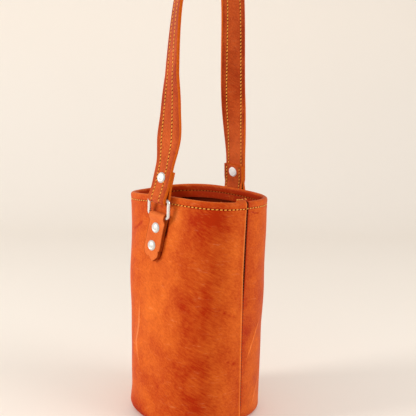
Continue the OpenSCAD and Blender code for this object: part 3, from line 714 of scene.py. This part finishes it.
# %% The strip builder
def strip(name, middles, outwards, half_widths, outline, material, rows=(1.4 * MM, 1.4 * MM),
          pucker=0.0, shade=0.0, cap_round=(0.3 * MM, 0.3 * MM)):
    """A strip along a path, closed at both ends, with the corners of cut ends rounded off."""
    n, m = len(middles), len(outline)
    of_half, fixed, of_left, of_right, depth, raw, tone = outline.T
    left, right = (np.broadcast_to(row, n)[:, None] for row in rows)
    way = headings(middles)
    outwards = upright_to(outwards, way)
    across = np.cross(way, outwards)
    marks = distances(middles) / MM
    wave = pucker * (np.sin(marks / 5.3) + np.sin(marks / 2.9 + 1))
    small = np.minimum(1, half_widths / (3.5 * MM))[:, None]     # draws the outline together at a tip
    u = of_half * half_widths[:, None] + small * (fixed + of_left * left + of_right * right)
    d = depth + wave[:, None] * (1 - raw)
    rings = middles[:, None] + across[:, None] * u[..., None] + outwards[:, None] * d[..., None]
    ends = [rings[k] + (middles[k] - rings[k]) * cap_round[k] * 1.1 / depth.max() for k in (0, -1)]
    rings[0] += way[0] * cap_round[0]
    rings[-1] -= way[-1] * cap_round[1]
    hubs = [end.mean(0) for end in ends]
    faces = [tuple(face) for face in grid_faces(n + 2, m, False, True)]
    top, last = (n + 2) * m, (n + 1) * m
    for j in range(m):
        k = (j + 1) % m
        faces += [(top, k, j), (top + 1, last + j, last + k)]
    cut = [np.ones(m) if round_by else raw for round_by in cap_round]
    shaded = np.tile(tone, n) + np.repeat(np.broadcast_to(shade, n), m)
    skin = np.concatenate([ends[0], rings.reshape(-1, 3), ends[1], hubs])
    return finish_mesh(name, skin, faces, [material], sharp=60,
                       tone=np.concatenate([tone, shaded, tone, [0, 0]]),
                       raw=np.concatenate([cut[0], np.tile(raw, n), cut[1], [1, 1]]))

# %% Paths of strips
def read_off(at, marks, values):
    """The values, one row for each mark along a path, at other distances along it."""
    return np.stack([np.interp(at, marks, column) for column in values.T], -1)


def resampled(path, step=0.8 * MM):
    """A path with points every step, and its corners eased."""
    path = np.asarray(path, float)
    marks = distances(path)
    even = read_off(np.linspace(0, marks[-1], int(marks[-1] / step)), marks, path)
    for _ in range(3):
        even[1:-1] = (even[:-2] + 2 * even[1:-1] + even[2:]) / 4
    return even


def arc(radius, start, end, steps):
    return [(radius * cos(a), radius * sin(a)) for a in np.linspace(start, end, steps)]


def path_sides(path):
    """Outward directions of a flat path in o and h."""
    way = headings(path)
    return np.stack([way[:, 1], 0 * way[:, 0], -way[:, 0]], 1)

# %% [markdown]
# ## Tabs and patches
# A tab is one strip, folded over the ring's lower bar, with both pointed ends
# riveted through the tube and a patch inside. The front layer comes back to the
# tube below the bar, so the path is a loop with two legs.

# %% Sizes of tabs and patches
WIRE_R = 1.5 * MM     # the ring's
LOOP_R = WIRE_R + 0.08 * MM     # the leather's inner face round a bar
TAB_W, TAB_T, TAB_DROP, TAB_POINT = 18 * MM, 1.8 * MM, 38.5 * MM, 8.5 * MM
TAB_SKEW = tan(radians(7))     # below the bar, the tabs lean to one side
TAB_LONGER, TAB_WIDER = 1.6 * MM, 0.8 * MM     # than their solids
NEAR_CUT, FAR_CUT = 5.4 * MM, 12.6 * MM     # the tip was cut off the middle
TAB_RIVETS, CAP_R = (-10.5 * MM, -26.5 * MM), 4.5 * MM
LAYER_GAP = 0.15 * MM
PATCH_T, PATCH_H, PATCH_ABOVE, PATCH_SLACK = 1.2 * MM, 38 * MM, 12 * MM, 0.87 * MM
WALL_INNER = -LAYER_GAP - TAB_T - LOOP_R - WALL_T     # the wall's inner face, from the bar
PATCH_INNER = WALL_INNER - PATCH_SLACK - PATCH_T

# %% Paths of tab and patch
front_mid, loop_mid = -LOOP_R + LAYER_GAP + TAB_T / 2, LOOP_R + TAB_T / 2
bend_h = TAB_RIVETS[0] + CAP_R + TAB_T / 2
touch = atan2(bend_h, front_mid) + acos(loop_mid / hypot(front_mid, bend_h))
tip_h = -TAB_DROP - TAB_LONGER
tab_path = resampled([(front_mid, tip_h), (front_mid, bend_h)] + arc(loop_mid, touch, pi, 14)
                     + [(-loop_mid, tip_h)])
tab_o, tab_h = tab_path.T
widening = TAB_WIDER * smooth_step((-tab_h - 8 * MM) / (20 * MM))
near_edge = -TAB_W / 2 - widening + NEAR_CUT * np.clip(1 - (tab_h - tip_h) / NEAR_CUT, 0, 1)
far_edge = TAB_W / 2 - FAR_CUT * np.clip(1 - (tab_h - tip_h) / (1.2 * TAB_POINT), 0, 1)
tab_y = (far_edge + near_edge) / 2 - np.minimum(tab_h, 0) * TAB_SKEW
patch_h = TAB_RIVETS[0] + PATCH_ABOVE - np.linspace(0, PATCH_H, 30)
patch_local = np.stack([0 * patch_h + PATCH_INNER + PATCH_T / 2, -patch_h * TAB_SKEW, patch_h], 1)
print("tab's strip in mm:", round(distances(tab_path)[-1] / MM, 1))

# %% The two tabs and their patches
for label, side in SIDES.items():
    middles = placed(np.stack([tab_o, tab_y, tab_h], 1), LOWER_BAR, side, -WALL_LEAN)
    outwards = turned(path_sides(tab_path), side, -WALL_LEAN)
    tab = strip(f"tab_{label}_leather", middles, outwards, (far_edge - near_edge) / 2,
                section(TAB_T), tab_leather_painted_light)
    hand_over(tab, "strap_leather", "bag", f"tab_{label}")
    middles = placed(patch_local, LOWER_BAR, side, -WALL_LEAN)
    outwards = turned(np.tile([-1, 0, 0], (len(patch_h), 1)), side, -WALL_LEAN)
    patch = strip(f"patch_{label}_leather", middles, outwards, np.full(len(patch_h), TAB_W / 2),
                  section(PATCH_T, corner=0.25 * MM), flesh_leather)
    hand_over(patch, "inner_leather", "bag", f"patch_{label}")

# %% [markdown]
# ## The strap
# The strap is one length of two plies sewn together along both edges. It leaves
# its tail inside, turns round the ring's upper bar, rises, leans in, twists and
# closes over the crown. It is built in three stretches that meet where the arms
# run upright. The outer two cross a hinge.

# %% Sizes of the strap and its route
STRAP_W, ARM_W = 19 * MM, 22 * MM     # in the rings, and along the arms
PLY_T, PLY_GAP = 1.3 * MM, 0.1 * MM
STRAP_T = 2 * PLY_T + PLY_GAP
STRAP_LEAN, END_TOP, TAIL_TOP = radians(10), 27 * MM, 24.5 * MM
OUT_DIR, UP_DIR = turned([1, 0, 0], 1, -STRAP_LEAN), turned([0, 0, 1], 1, -STRAP_LEAN)
STRAP_START = UPPER_BAR + OUT_DIR * (PLY_GAP + STRAP_T) / 2 + UP_DIR * END_TOP
ARM, ARM_DIR = np.array([39.2, -6.3, 300]) * MM, np.array([-0.045, -0.02, 1])
CROWN = np.array([0, -14, 398]) * MM
LOW, HIGH = (ARM[2] - STRAP_START[2]) / 3, (CROWN[2] - ARM[2]) * 0.8
ACROSS = np.array([ARM[0] * 0.84, 0, 0])
TWISTS = {-1: (31, 0.5, 1.35), 1: (66, 0.0, 1.45)}     # degrees, from and to on the route
CROWN_TWIST, LOW_TWIST = 20, -13

# %% The strap's route
def bezier(p, s):
    return p[0] * (1 - s) ** 3 + p[1] * 3 * s * (1 - s) ** 2 + p[2] * 3 * s * s * (1 - s) + p[3] * s ** 3


def half_route(s):
    if s < 1:
        return bezier((STRAP_START, STRAP_START + UP_DIR * LOW, ARM - ARM_DIR * LOW, ARM), s)
    return bezier((ARM, ARM + ARM_DIR * HIGH, CROWN + ACROSS, CROWN), s - 1)


def route(s):
    """A place on the strap, from 0 at the left end to 4 at the right end."""
    return half_route(s) * np.array([-1, 1, 1]) if s < 2 else half_route(4 - s)


def outer_face(s):
    """Direction that the strap's outer face looks in."""
    heading = unit(route(min(4, s + 0.001)) - route(max(0, s - 0.001)))
    flat = unit(np.cross(heading, [0, cos(SIDE_TILT), sin(SIDE_TILT)]))
    full, start, end = TWISTS[-1 if s < 2 else 1]
    k = min(s, 4 - s)
    angle = full * smooth_step((k - start) / (end - start))
    angle = angle + (CROWN_TWIST - full) * smooth_step((k - 1.4) / 0.6)
    if s < 2:
        angle = angle + LOW_TWIST * smooth_step(k / 0.33) * (1 - smooth_step((k - 0.33) / 0.29))
    angle = -radians(float(angle))
    return flat * cos(angle) + np.cross(heading, flat) * sin(angle)


whole = np.array([route(s) for s in np.linspace(0, 4, 201)])
print("strap above its ends in mm:", round(distances(whole)[-1] / MM, 1))

# %% The folded ends
FOLD_TAPER = radians(9)
fold_mid = LOOP_R + PLY_T + PLY_GAP / 2
leg = fold_mid - LOOP_R + PLY_GAP / 2
straight_from = (fold_mid - leg * cos(FOLD_TAPER)) / sin(FOLD_TAPER)
fold_path = resampled([(-leg, TAIL_TOP), (-leg, straight_from)]
                      + arc(fold_mid, pi - FOLD_TAPER, 2 * pi + FOLD_TAPER, 24)
                      + [(leg, straight_from), (leg, END_TOP)])
fold_o, fold_h = fold_path.T
print("folded end in mm:", round(distances(fold_path)[-1] / MM, 1))


def strap_frames(label):
    """Middles, outward directions and places on the route of one stretch of the strap."""
    if label == "crown":
        places = np.linspace(1, 3, 150)
        return np.array([route(s) for s in places]), np.array([outer_face(s) for s in places]), places
    side, rise, fold = SIDES[label], np.linspace(0, 1, 56)[1:], 0 * fold_h
    if side > 0:     # above 4 in the right ring, where the strap is narrower
        rise, fold = 4 - rise, 5 - smooth_step((fold_h - 5 * MM) / (8 * MM))
    end = placed(np.stack([fold_o, 0 * fold_o, fold_h], 1), UPPER_BAR, side, -STRAP_LEAN)
    looks = turned(path_sides(fold_path), side, -STRAP_LEAN)
    middles = np.concatenate([end, [route(s) for s in rise]])
    outwards = np.concatenate([looks, [outer_face(s) for s in rise]])
    return middles[::-side], outwards[::-side], np.concatenate([fold, rise])[::-side]


def strap_shape(places):
    """Half width, and how far the two rows of stitches lie in from the edges."""
    low = 1.1 * MM * smooth_step(5 - places) * (places > 2)     # the right end keeps more of its width
    on_arm = smooth_step(np.minimum(places, 4 - places) / 0.35)
    half = STRAP_W / 2 + low + ((ARM_W - STRAP_W) / 2 - low) * on_arm
    left = np.interp(places, (0, 0.6, 1, 3, 3.6, 4, 5), (4.4, 4.4, 5.2, 5.0, 5.0, 3.0, 1.9)) * MM
    right = np.interp(places, (0, 0.35, 1, 3, 3.6, 4, 5), (6.0, 8.0, 8.0, 4.0, 4.0, 3.0, 1.9)) * MM
    return half, left, right

# %% The strap's three stretches
STRETCHES = {"left": ("end", "flex"), "crown": ("handle",), "right": ("end", "flex")}
CUT_ROUND = {"left": (0.2 * MM, 0), "crown": (0, 0), "right": (0, 0.2 * MM)}


def carry(piece, label):
    """Hangs a piece of the crown's stretch on the handle, and bakes the place of any other piece into its
    mesh.
    """
    if label == "crown":
        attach(piece, "handle")
    elif label == "left":
        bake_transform(piece)
    else:
        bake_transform(piece)


strap_paths = {}
for label, parts in STRETCHES.items():
    middles, outwards, places = strap_frames(label)
    half, *rows = strap_shape(places)
    strap_paths[label] = (middles, outwards, half, rows)
    shade = 0.13 * bell(np.minimum(places, 4 - places) - 0.15, 0.3)
    piece = strip(f"strap_{label}", middles, outwards, half, section(STRAP_T, 2, True), strap_leather,
                  rows=rows, pucker=0.03 * MM, shade=shade, cap_round=CUT_ROUND[label])
    ending = "" if label == "crown" else "_" + label
    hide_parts(*(f"{part}_{ply}_ply{ending}" for part in parts for ply in ("outer", "inner")))
    carry(piece, label)

# %% [markdown]
# ## Rings
# A ring is nickel-plated wire bent to a rectangle with tight corners. A round
# section swept round that path keeps its thickness in the corners.

# %% The two rings
RING_SPAN, RING_PITCH, RING_CORNER = 23 * MM, 15 * MM, 2.4 * MM
RING_LEAN = radians(4.8)
corner_y, corner_h = RING_SPAN / 2 - RING_CORNER, RING_PITCH / 2 - RING_CORNER
wire_path = np.concatenate([
    np.array(arc(RING_CORNER, start, start + pi / 2, 13)) + (y * corner_y, h * corner_h)
    for y, h, start in ((1, 1, 0), (-1, 1, pi / 2), (-1, -1, pi), (1, -1, 1.5 * pi))])
way_y, way_h = unit(np.roll(wire_path, -1, 0) - np.roll(wire_path, 1, 0)).T[..., None]
spin = np.radians(np.linspace(0, 360, 28, endpoint=False))
wire_y = wire_path[:, :1] + WIRE_R * np.cos(spin) * way_h
wire_h = wire_path[:, 1:] - WIRE_R * np.cos(spin) * way_y + RING_PITCH / 2
local = np.stack([WIRE_R * np.sin(spin) + 0 * wire_y, wire_y, wire_h], -1)
for label, side in SIDES.items():
    ring = swept(f"ring_{label}_wire", placed(local, LOWER_BAR, side, RING_LEAN), [ring_nickel], True)
    hand_over(ring, "nickel", f"ring_{label}", f"ring_{label}")

# %% [markdown]
# ## What repeats: stitches and rivets
# Stitches, the painted shadows in needle holes, and rivets are each one small shape on many places. A
# Geometry Nodes tree puts an instance on every point of a cloud, turned as the
# point's own `turn` says, with a little seeded chance in its angle, and ends by
# making real geometry of them.

# %% The two trees
GEOMETRY = "NodeSocketGeometry"
COMMON = [("Jitter", SCALAR, 0.06), ("Seed", "NodeSocketInt", 1),
          ("Material", "NodeSocketMaterial", None)]


def new_scatter(name, sizes):
    """A tree that takes a cloud of points, its own sizes and the common inputs."""
    return new_tree(name, "GeometryNodeTree", [("Geometry", GEOMETRY, None)] + sizes + COMMON,
                    [("Geometry", GEOMETRY)])


def end_tree(tree, given, gives, shape, scale):
    """Puts the shape on every point, turned by the point's own angles and a little chance."""
    cloud, jitter, seed, material = (
        given.outputs[label] for label in ("Geometry", "Jitter", "Seed", "Material"))
    turn = put(tree, "GeometryNodeInputNamedAttribute", {"Name": "turn"}, data_type="FLOAT_VECTOR")
    most = put(tree, "ShaderNodeCombineXYZ", {2: jitter})
    least = put(tree, "ShaderNodeVectorMath", {0: most, 1: (-1, -1, -1)}, operation="MULTIPLY")
    chance = put(tree, "FunctionNodeRandomValue", {0: least, 1: most, "Seed": seed},
                 data_type="FLOAT_VECTOR")
    angles = put(tree, "FunctionNodeRotateEuler", {0: turn, 1: chance}, rotation_type="EULER", space="LOCAL")
    instances = put(tree, "GeometryNodeInstanceOnPoints",
                    {"Points": cloud, "Instance": shape, "Rotation": angles, "Scale": scale})
    real = put(tree, "GeometryNodeRealizeInstances", {0: instances})
    feed(tree, gives, {0: put(tree, "GeometryNodeSetMaterial", {0: real, "Material": material})})


stitch_tree, given, gives = new_scatter("stitches", [
    ("Length", SCALAR, 2.7 * MM), ("Width", SCALAR, 0.8 * MM), ("Height", SCALAR, 0.7 * MM)])
ball = put(stitch_tree, "GeometryNodeMeshUVSphere", {"Segments": 8, "Rings": 5, "Radius": 0.5})
smooth = put(stitch_tree, "GeometryNodeSetShadeSmooth", {0: ball})
size = put(stitch_tree, "ShaderNodeCombineXYZ", {
    k: given.outputs[label] for k, label in enumerate(("Length", "Width", "Height"))})
end_tree(stitch_tree, given, gives, smooth, size)

rivet_tree, given, gives = new_scatter("rivets", [("Cap", "NodeSocketObject", None)])
cap_shape = add(rivet_tree, "GeometryNodeObjectInfo", {"Object": given.outputs["Cap"]})
end_tree(rivet_tree, given, gives, cap_shape.outputs["Geometry"], (1.0, 1.0, 1.0))
print("trees:", stitch_tree.name, rivet_tree.name)

# %% Using a tree on a cloud of points
def scattered(name, tree, spots, inputs):
    """spots are (place, direction along, direction up) for each instance."""
    mesh = bpy.data.meshes.new(name)
    mesh.from_pydata([tuple(place) for place, _, _ in spots], [], [])
    turn = mesh.attributes.new("turn", "FLOAT_VECTOR", "POINT")
    for k, (_, along, up) in enumerate(spots):
        x = unit(along)
        z = unit(up - np.dot(up, x) * x)
        turn.data[k].vector = Matrix(np.stack([x, np.cross(z, x), z], 1)).to_euler()
    obj = put_in_scene(name, mesh)
    modifier = obj.modifiers.new(tree.name, "NODES")
    modifier.node_group = tree
    for item in tree.interface.items_tree:
        if item.in_out == "INPUT" and item.name in inputs:
            modifier[item.identifier] = inputs[item.name]
    depsgraph = bpy.context.evaluated_depsgraph_get()
    real = bpy.data.meshes.new_from_object(obj.evaluated_get(depsgraph), depsgraph=depsgraph)
    obj.modifiers.clear()
    obj.data = real
    real.name = name
    print(f"{name}: {len(spots)} placed, {len(real.polygons)} faces")
    return obj

# %% [markdown]
# ## Rivets
# Each rivet is a domed cap outside and another inside, joined by a post through
# the leather. The caps are turned shapes with a fine rolled edge. The posts stay
# inside the leather, where nothing shows them, so only the caps are made.

# %% The cap
CAP_DOME, CAP_EDGE = 1.25 * MM, 0.35 * MM
dome_r = (CAP_R ** 2 + CAP_DOME ** 2) / (2 * CAP_DOME)
dome = [(0, 0.02 * MM), (CAP_R * 0.9, 0.02 * MM), (CAP_R - 0.08 * MM, 0.05 * MM), (CAP_R, 0.2 * MM),
        (CAP_R - 0.06 * MM, CAP_EDGE)]
for k in np.linspace(0.97, 0, 16):
    rolled = 0.22 * MM * bell(k - 0.74, 0.1) - 0.3 * MM * smooth_step((0.72 - k) / 0.12)
    arch = sqrt(dome_r ** 2 - (CAP_R * k) ** 2) - dome_r
    dome.append((CAP_R * k * 0.985, CAP_EDGE + CAP_DOME + arch + rolled))
spin = np.radians(np.linspace(0, 360, 40, endpoint=False))
points = np.array([[(r * cos(a), r * sin(a), h) for a in spin] for r, h in dome])
cap_master = swept("cap_master", points, [nickel], sharp=70)

# %% The rivets
STRAP_RIVET = 18 * MM     # above the ring's upper bar


def cap_spot(local, bar, side, lean, look):
    """Where a cap sits and its directions. look is 1 outside and -1 inside."""
    return placed(local, bar, side, lean), turned([0, 0, 1], side, lean), turned([look, 0, 0], side, lean)


caps = {"tab_rivet_caps": [], "tab_rivet_posts": []}
for label, side in SIDES.items():
    for h in TAB_RIVETS:
        for kind, o, look in (("caps", front_mid + TAB_T / 2, 1), ("posts", PATCH_INNER, -1)):
            spot = cap_spot([o, -h * TAB_SKEW, h], LOWER_BAR, side, -WALL_LEAN, look)
            caps[f"tab_rivet_{kind}"].append(spot)
    for kind, look in (("cap", 1), ("post", -1)):
        local = [look * (STRAP_T + PLY_GAP / 2), 0, STRAP_RIVET]
        caps[f"strap_rivet_{kind}_{label}"] = [cap_spot(local, UPPER_BAR, side, -STRAP_LEAN, look)]
for name, spots in caps.items():
    # Inner caps take the nickel's white copy with painted light.
    finish = nickel_painted_lit if "post" in name else nickel
    inputs = {"Cap": cap_master, "Jitter": 0.0, "Material": finish}
    piece = scattered(name + "_dome", rivet_tree, spots, inputs)
    body = "bag" if name.startswith("tab") else "strap_end_" + name.split("_")[-1]
    hand_over(piece, "nickel", body, name)
bpy.data.objects.remove(cap_master)

# %% [markdown]
# ## Stitching
# A thick gold thread runs round the hem and along both edges of the strap, and a
# fine dark one up the seam. Between two stitches the needle's hole shows as a
# small dark pit, which is a flat dark lens here: a painted shadow in the hole.

# %% Where stitches go on the tube
HEM_INSET = {1: 0.0, -1: 2 * WALL_T}     # of the hem's outer and inner face


def surface_spot(turn, z, face):
    """A place on the tube's skin, with the directions round and out of it."""
    def at(more_turn, more_z):
        return tube_points(np.array(turn + more_turn), np.array(z + more_z), HEM_INSET[face], face)[0]

    round_by, up_by = at(0.2, 0) - at(-0.2, 0), at(0, 0.4 * MM) - at(0, -0.4 * MM)
    return at(0, 0), unit(round_by), unit(np.cross(round_by, up_by)) * face


def hem_row(face, start, pitch=3.5 * MM):
    """Evenly spaced places round the hem, from a share of the pitch on."""
    z, even = BAG_H - HEM_ROW, np.linspace(0, 360, 721)
    marks = distances(tube_points(even, np.full(721, z), HEM_INSET[face], face)[0])
    count = int(marks[-1] / pitch)
    around = np.interp((np.arange(count) + start) * marks[-1] / count, marks, even)
    return [surface_spot(turn, z, face) for turn in around]


def raised(spots, by, slant=0.0):
    """Spots moved out of the surface, with the thread slanted a little."""
    return [(place + up * by, along + np.cross(up, along) * slant, up) for place, along, up in spots]


def sewn(name, spots, sizes, jitter, seed, material):
    """Stitches, or the painted shadows of needle holes, on the spots, with their length, width and height in
    mm.
    """
    inputs = {"Jitter": jitter, "Seed": seed, "Material": material}
    inputs.update(zip(("Length", "Width", "Height"), (size * MM for size in sizes)))
    return scattered(name, stitch_tree, spots, inputs)

# %% Stitches on the tube
SEAM_FROM, SEAM_PITCH = 16 * MM, 2.6 * MM
HIGHER_FROM = 90 * MM     # from here up, the thread lies higher over the groove's floor
LUMP_AT, LUMP_FOLD, RIM_REACH = (-8.8, -5.9, -3.0, 1.6), radians(105), 61 * MM
UPWARDS = np.array([0, 0, 1])
hem_threads = {face: raised(hem_row(face, 0.5), 0.22 * MM, 0.10) for face in (1, -1)}
hem_holes = [spot for face in (1, -1) for spot in raised(hem_row(face, 0), 0.02 * MM)]
lump_z = BAG_H + WALL_T * (sin(LUMP_FOLD) - 1)
lump_inset = WALL_T * (1 - cos(LUMP_FOLD))
for s in LUMP_AT:     # over the folded layers beside the seam
    turn = degrees(s * MM / RIM_REACH) + np.array([-0.3, 0, 0.3])
    before, here, after = tube_points(turn, lump_z + 0 * turn, lump_inset, cos(LUMP_FOLD))[0]
    hem_threads[1].append((here + 0.2 * MM * UPWARDS, unit(after - before), UPWARDS))
seam_threads = []
for z in np.arange(SEAM_FROM, BAG_H - HEM_ROW - 2 * MM, SEAM_PITCH):
    place, along, up = surface_spot(0.1, z, 1)
    place = place + up * (0.35 * MM if z < HIGHER_FROM else 0.75 * MM)
    seam_threads.append((place, along + 0.7 * UPWARDS, up))
tube_stitches = [
    sewn("hem_thread_outside", hem_threads[1], (2.6, 1.0, 0.75), 0.09, 4, gold_thread),
    sewn("hem_thread_inside", hem_threads[-1], (2.6, 1.0, 0.75), 0.09, 4, dull_thread),
    sewn("hem_holes", hem_holes, (1.3, 1.15, 0.3), 0.1, 5, needle_hole_shadow),
    sewn("seam_thread", seam_threads, (1.8, 0.75, 0.5), 0.15, 6, dark_thread)]
for piece in tube_stitches:
    hand_over(piece, "body_leather", "bag")

# %% Stitches along the strap
PITCH, CLEAR = 3.1 * MM, 1 * MM     # between stitches, and kept clear at the cut ends


def strap_spots(label):
    """Threads and the painted shadows of needle holes by turns, in both rows and on both faces of a stretch.
    """
    middles, outwards, half_widths, rows = strap_paths[label]
    marks = distances(middles)
    first, last = CLEAR * (label == "left"), marks[-1] - CLEAR * (label == "right")
    count = 2 * round((last - first) / PITCH)
    at = first + (np.arange(count) + 0.5) * (last - first) / count
    ways = unit(read_off(at, marks, headings(middles)))
    looks = upright_to(read_off(at, marks, outwards), ways)
    across = np.cross(ways, looks)
    centres, widths = read_off(at, marks, middles), np.interp(at, marks, half_widths)
    left, right = (widths - np.interp(at, marks, row) for row in rows)
    kinds = [], []
    for k in range(count):
        rise, slant = ((0.22 * MM, 0.26), (0.05 * MM, 0.0))[k % 2]
        for row_at in (-left[k], right[k]):
            for up in (-looks[k], looks[k]):
                place = centres[k] + across[k] * row_at + up * (STRAP_T / 2 - ROW_SUNK + rise)
                slanted = ways[k] + np.cross(ways[k], up) * slant
                kinds[k % 2].append((place, slanted, up))
    return kinds


for label in strap_paths:
    threads, hole_shadows = strap_spots(label)
    for piece in (sewn(f"strap_thread_{label}", threads, (2.6, 0.95, 0.66), 0.1, 7, gold_thread),
                  sewn(f"strap_holes_{label}", hole_shadows, (1.0, 1.7, 0.3), 0.1, 8, needle_hole_shadow)):
        carry(piece, label)

# %% [markdown]
# ## Floor, light and camera
# The carrier stands on a pale cream floor that curves up into the backdrop. Soft
# light comes from all round. A warm lamp at the left gives that side its glow and
# throws a soft shadow to the right, and a weaker, wider one fills in from there.

# %% Floor and backdrop
VIEW_TURN = 0.7279     # radians, the way the camera looks
FLOOR_FROM, CURVE_FROM, CURVE_R, BACKDROP_H, HALF_WIDE = -1.6, 0.9, 0.5, 2.6, 2.4     # metres
look = np.array([cos(VIEW_TURN), sin(VIEW_TURN)])
sideways = np.array([look[1], -look[0]])
floor_profile = [(FLOOR_FROM, 0), (CURVE_FROM, 0)]
floor_profile += [(CURVE_FROM + CURVE_R * sin(a), CURVE_R * (1 - cos(a)))
                  for a in np.linspace(0.1, pi / 2, 12)]
floor_profile.append((CURVE_FROM + CURVE_R, BACKDROP_H))
points = [(*(look * ahead + sideways * w), h)
          for ahead, h in floor_profile for w in np.linspace(-HALF_WIDE, HALF_WIDE, 9)]
mesh = bpy.data.meshes.new("backdrop")
mesh.from_pydata(points, [], grid_faces(len(floor_profile), 9, False, False).tolist())
mesh.polygons.foreach_set("use_smooth", [True] * len(mesh.polygons))
floor = put_in_scene("backdrop", mesh)
floor.location.z = -0.2 * MM
cream, tree, shader, where = new_material("cream_paper")
paper = mixed(tree, noise(tree, where, 2.2, 2), srgb(248, 240, 230), srgb(250, 243, 234))
feed(tree, shader, {"Base Color": paper, "Roughness": 0.9, "Specular IOR Level": 0.1})
mesh.materials.append(cream)

# %% Light
world = bpy.data.worlds.new("studio")
scene.world = world
world.use_nodes = True
sky = world.node_tree.nodes["Background"]
feed(world.node_tree, sky, {"Color": (1.0, 0.99, 0.98, 1), "Strength": 0.64})


def lamp(name, place, target, size, power, colour):
    data = bpy.data.lights.new(name, "AREA")
    data.shape, data.size, data.energy, data.color = "DISK", size, power, colour
    obj = put_in_scene(name, data)
    obj.location = place
    obj.rotation_euler = (Vector(target) - Vector(place)).to_track_quat("-Z", "Y").to_euler()


lamp("key", (-1.255, 0.825, 0.65), (0, 0, 0.1), 0.5, 14, (1.0, 0.97, 0.93))
lamp("fill", (0.36, -1.15, 0.7), (0, 0, 0.15), 0.8, 6.5, (1.0, 0.97, 0.94))

# %% Camera
# Place, angles and focal length were fitted to the photo.
PITCH_DOWN, ROLL = 0.14121, 0.010355     # radians
PLACE = (-0.47899, -0.43949, 0.27685)
FOCAL, PICTURE = 735.46, 416     # in the photo's pixels
scene.view_settings.view_transform = "Standard"
right = Vector((sin(VIEW_TURN), -cos(VIEW_TURN), 0))
ahead = Vector((*(look * cos(PITCH_DOWN)), -sin(PITCH_DOWN)))
up = right.cross(ahead)
axis_x = right * cos(ROLL) + up * sin(ROLL)
axis_y = up * cos(ROLL) - right * sin(ROLL)
camera_data = bpy.data.cameras.new("camera")
camera_data.sensor_width = 36
camera_data.lens = FOCAL / PICTURE * camera_data.sensor_width
camera = put_in_scene("camera", camera_data)
camera.matrix_world = Matrix.Translation(PLACE) @ Matrix((axis_x, axis_y, -ahead)).transposed().to_4x4()
scene.camera = camera
print("lens in mm:", round(camera_data.lens, 1))
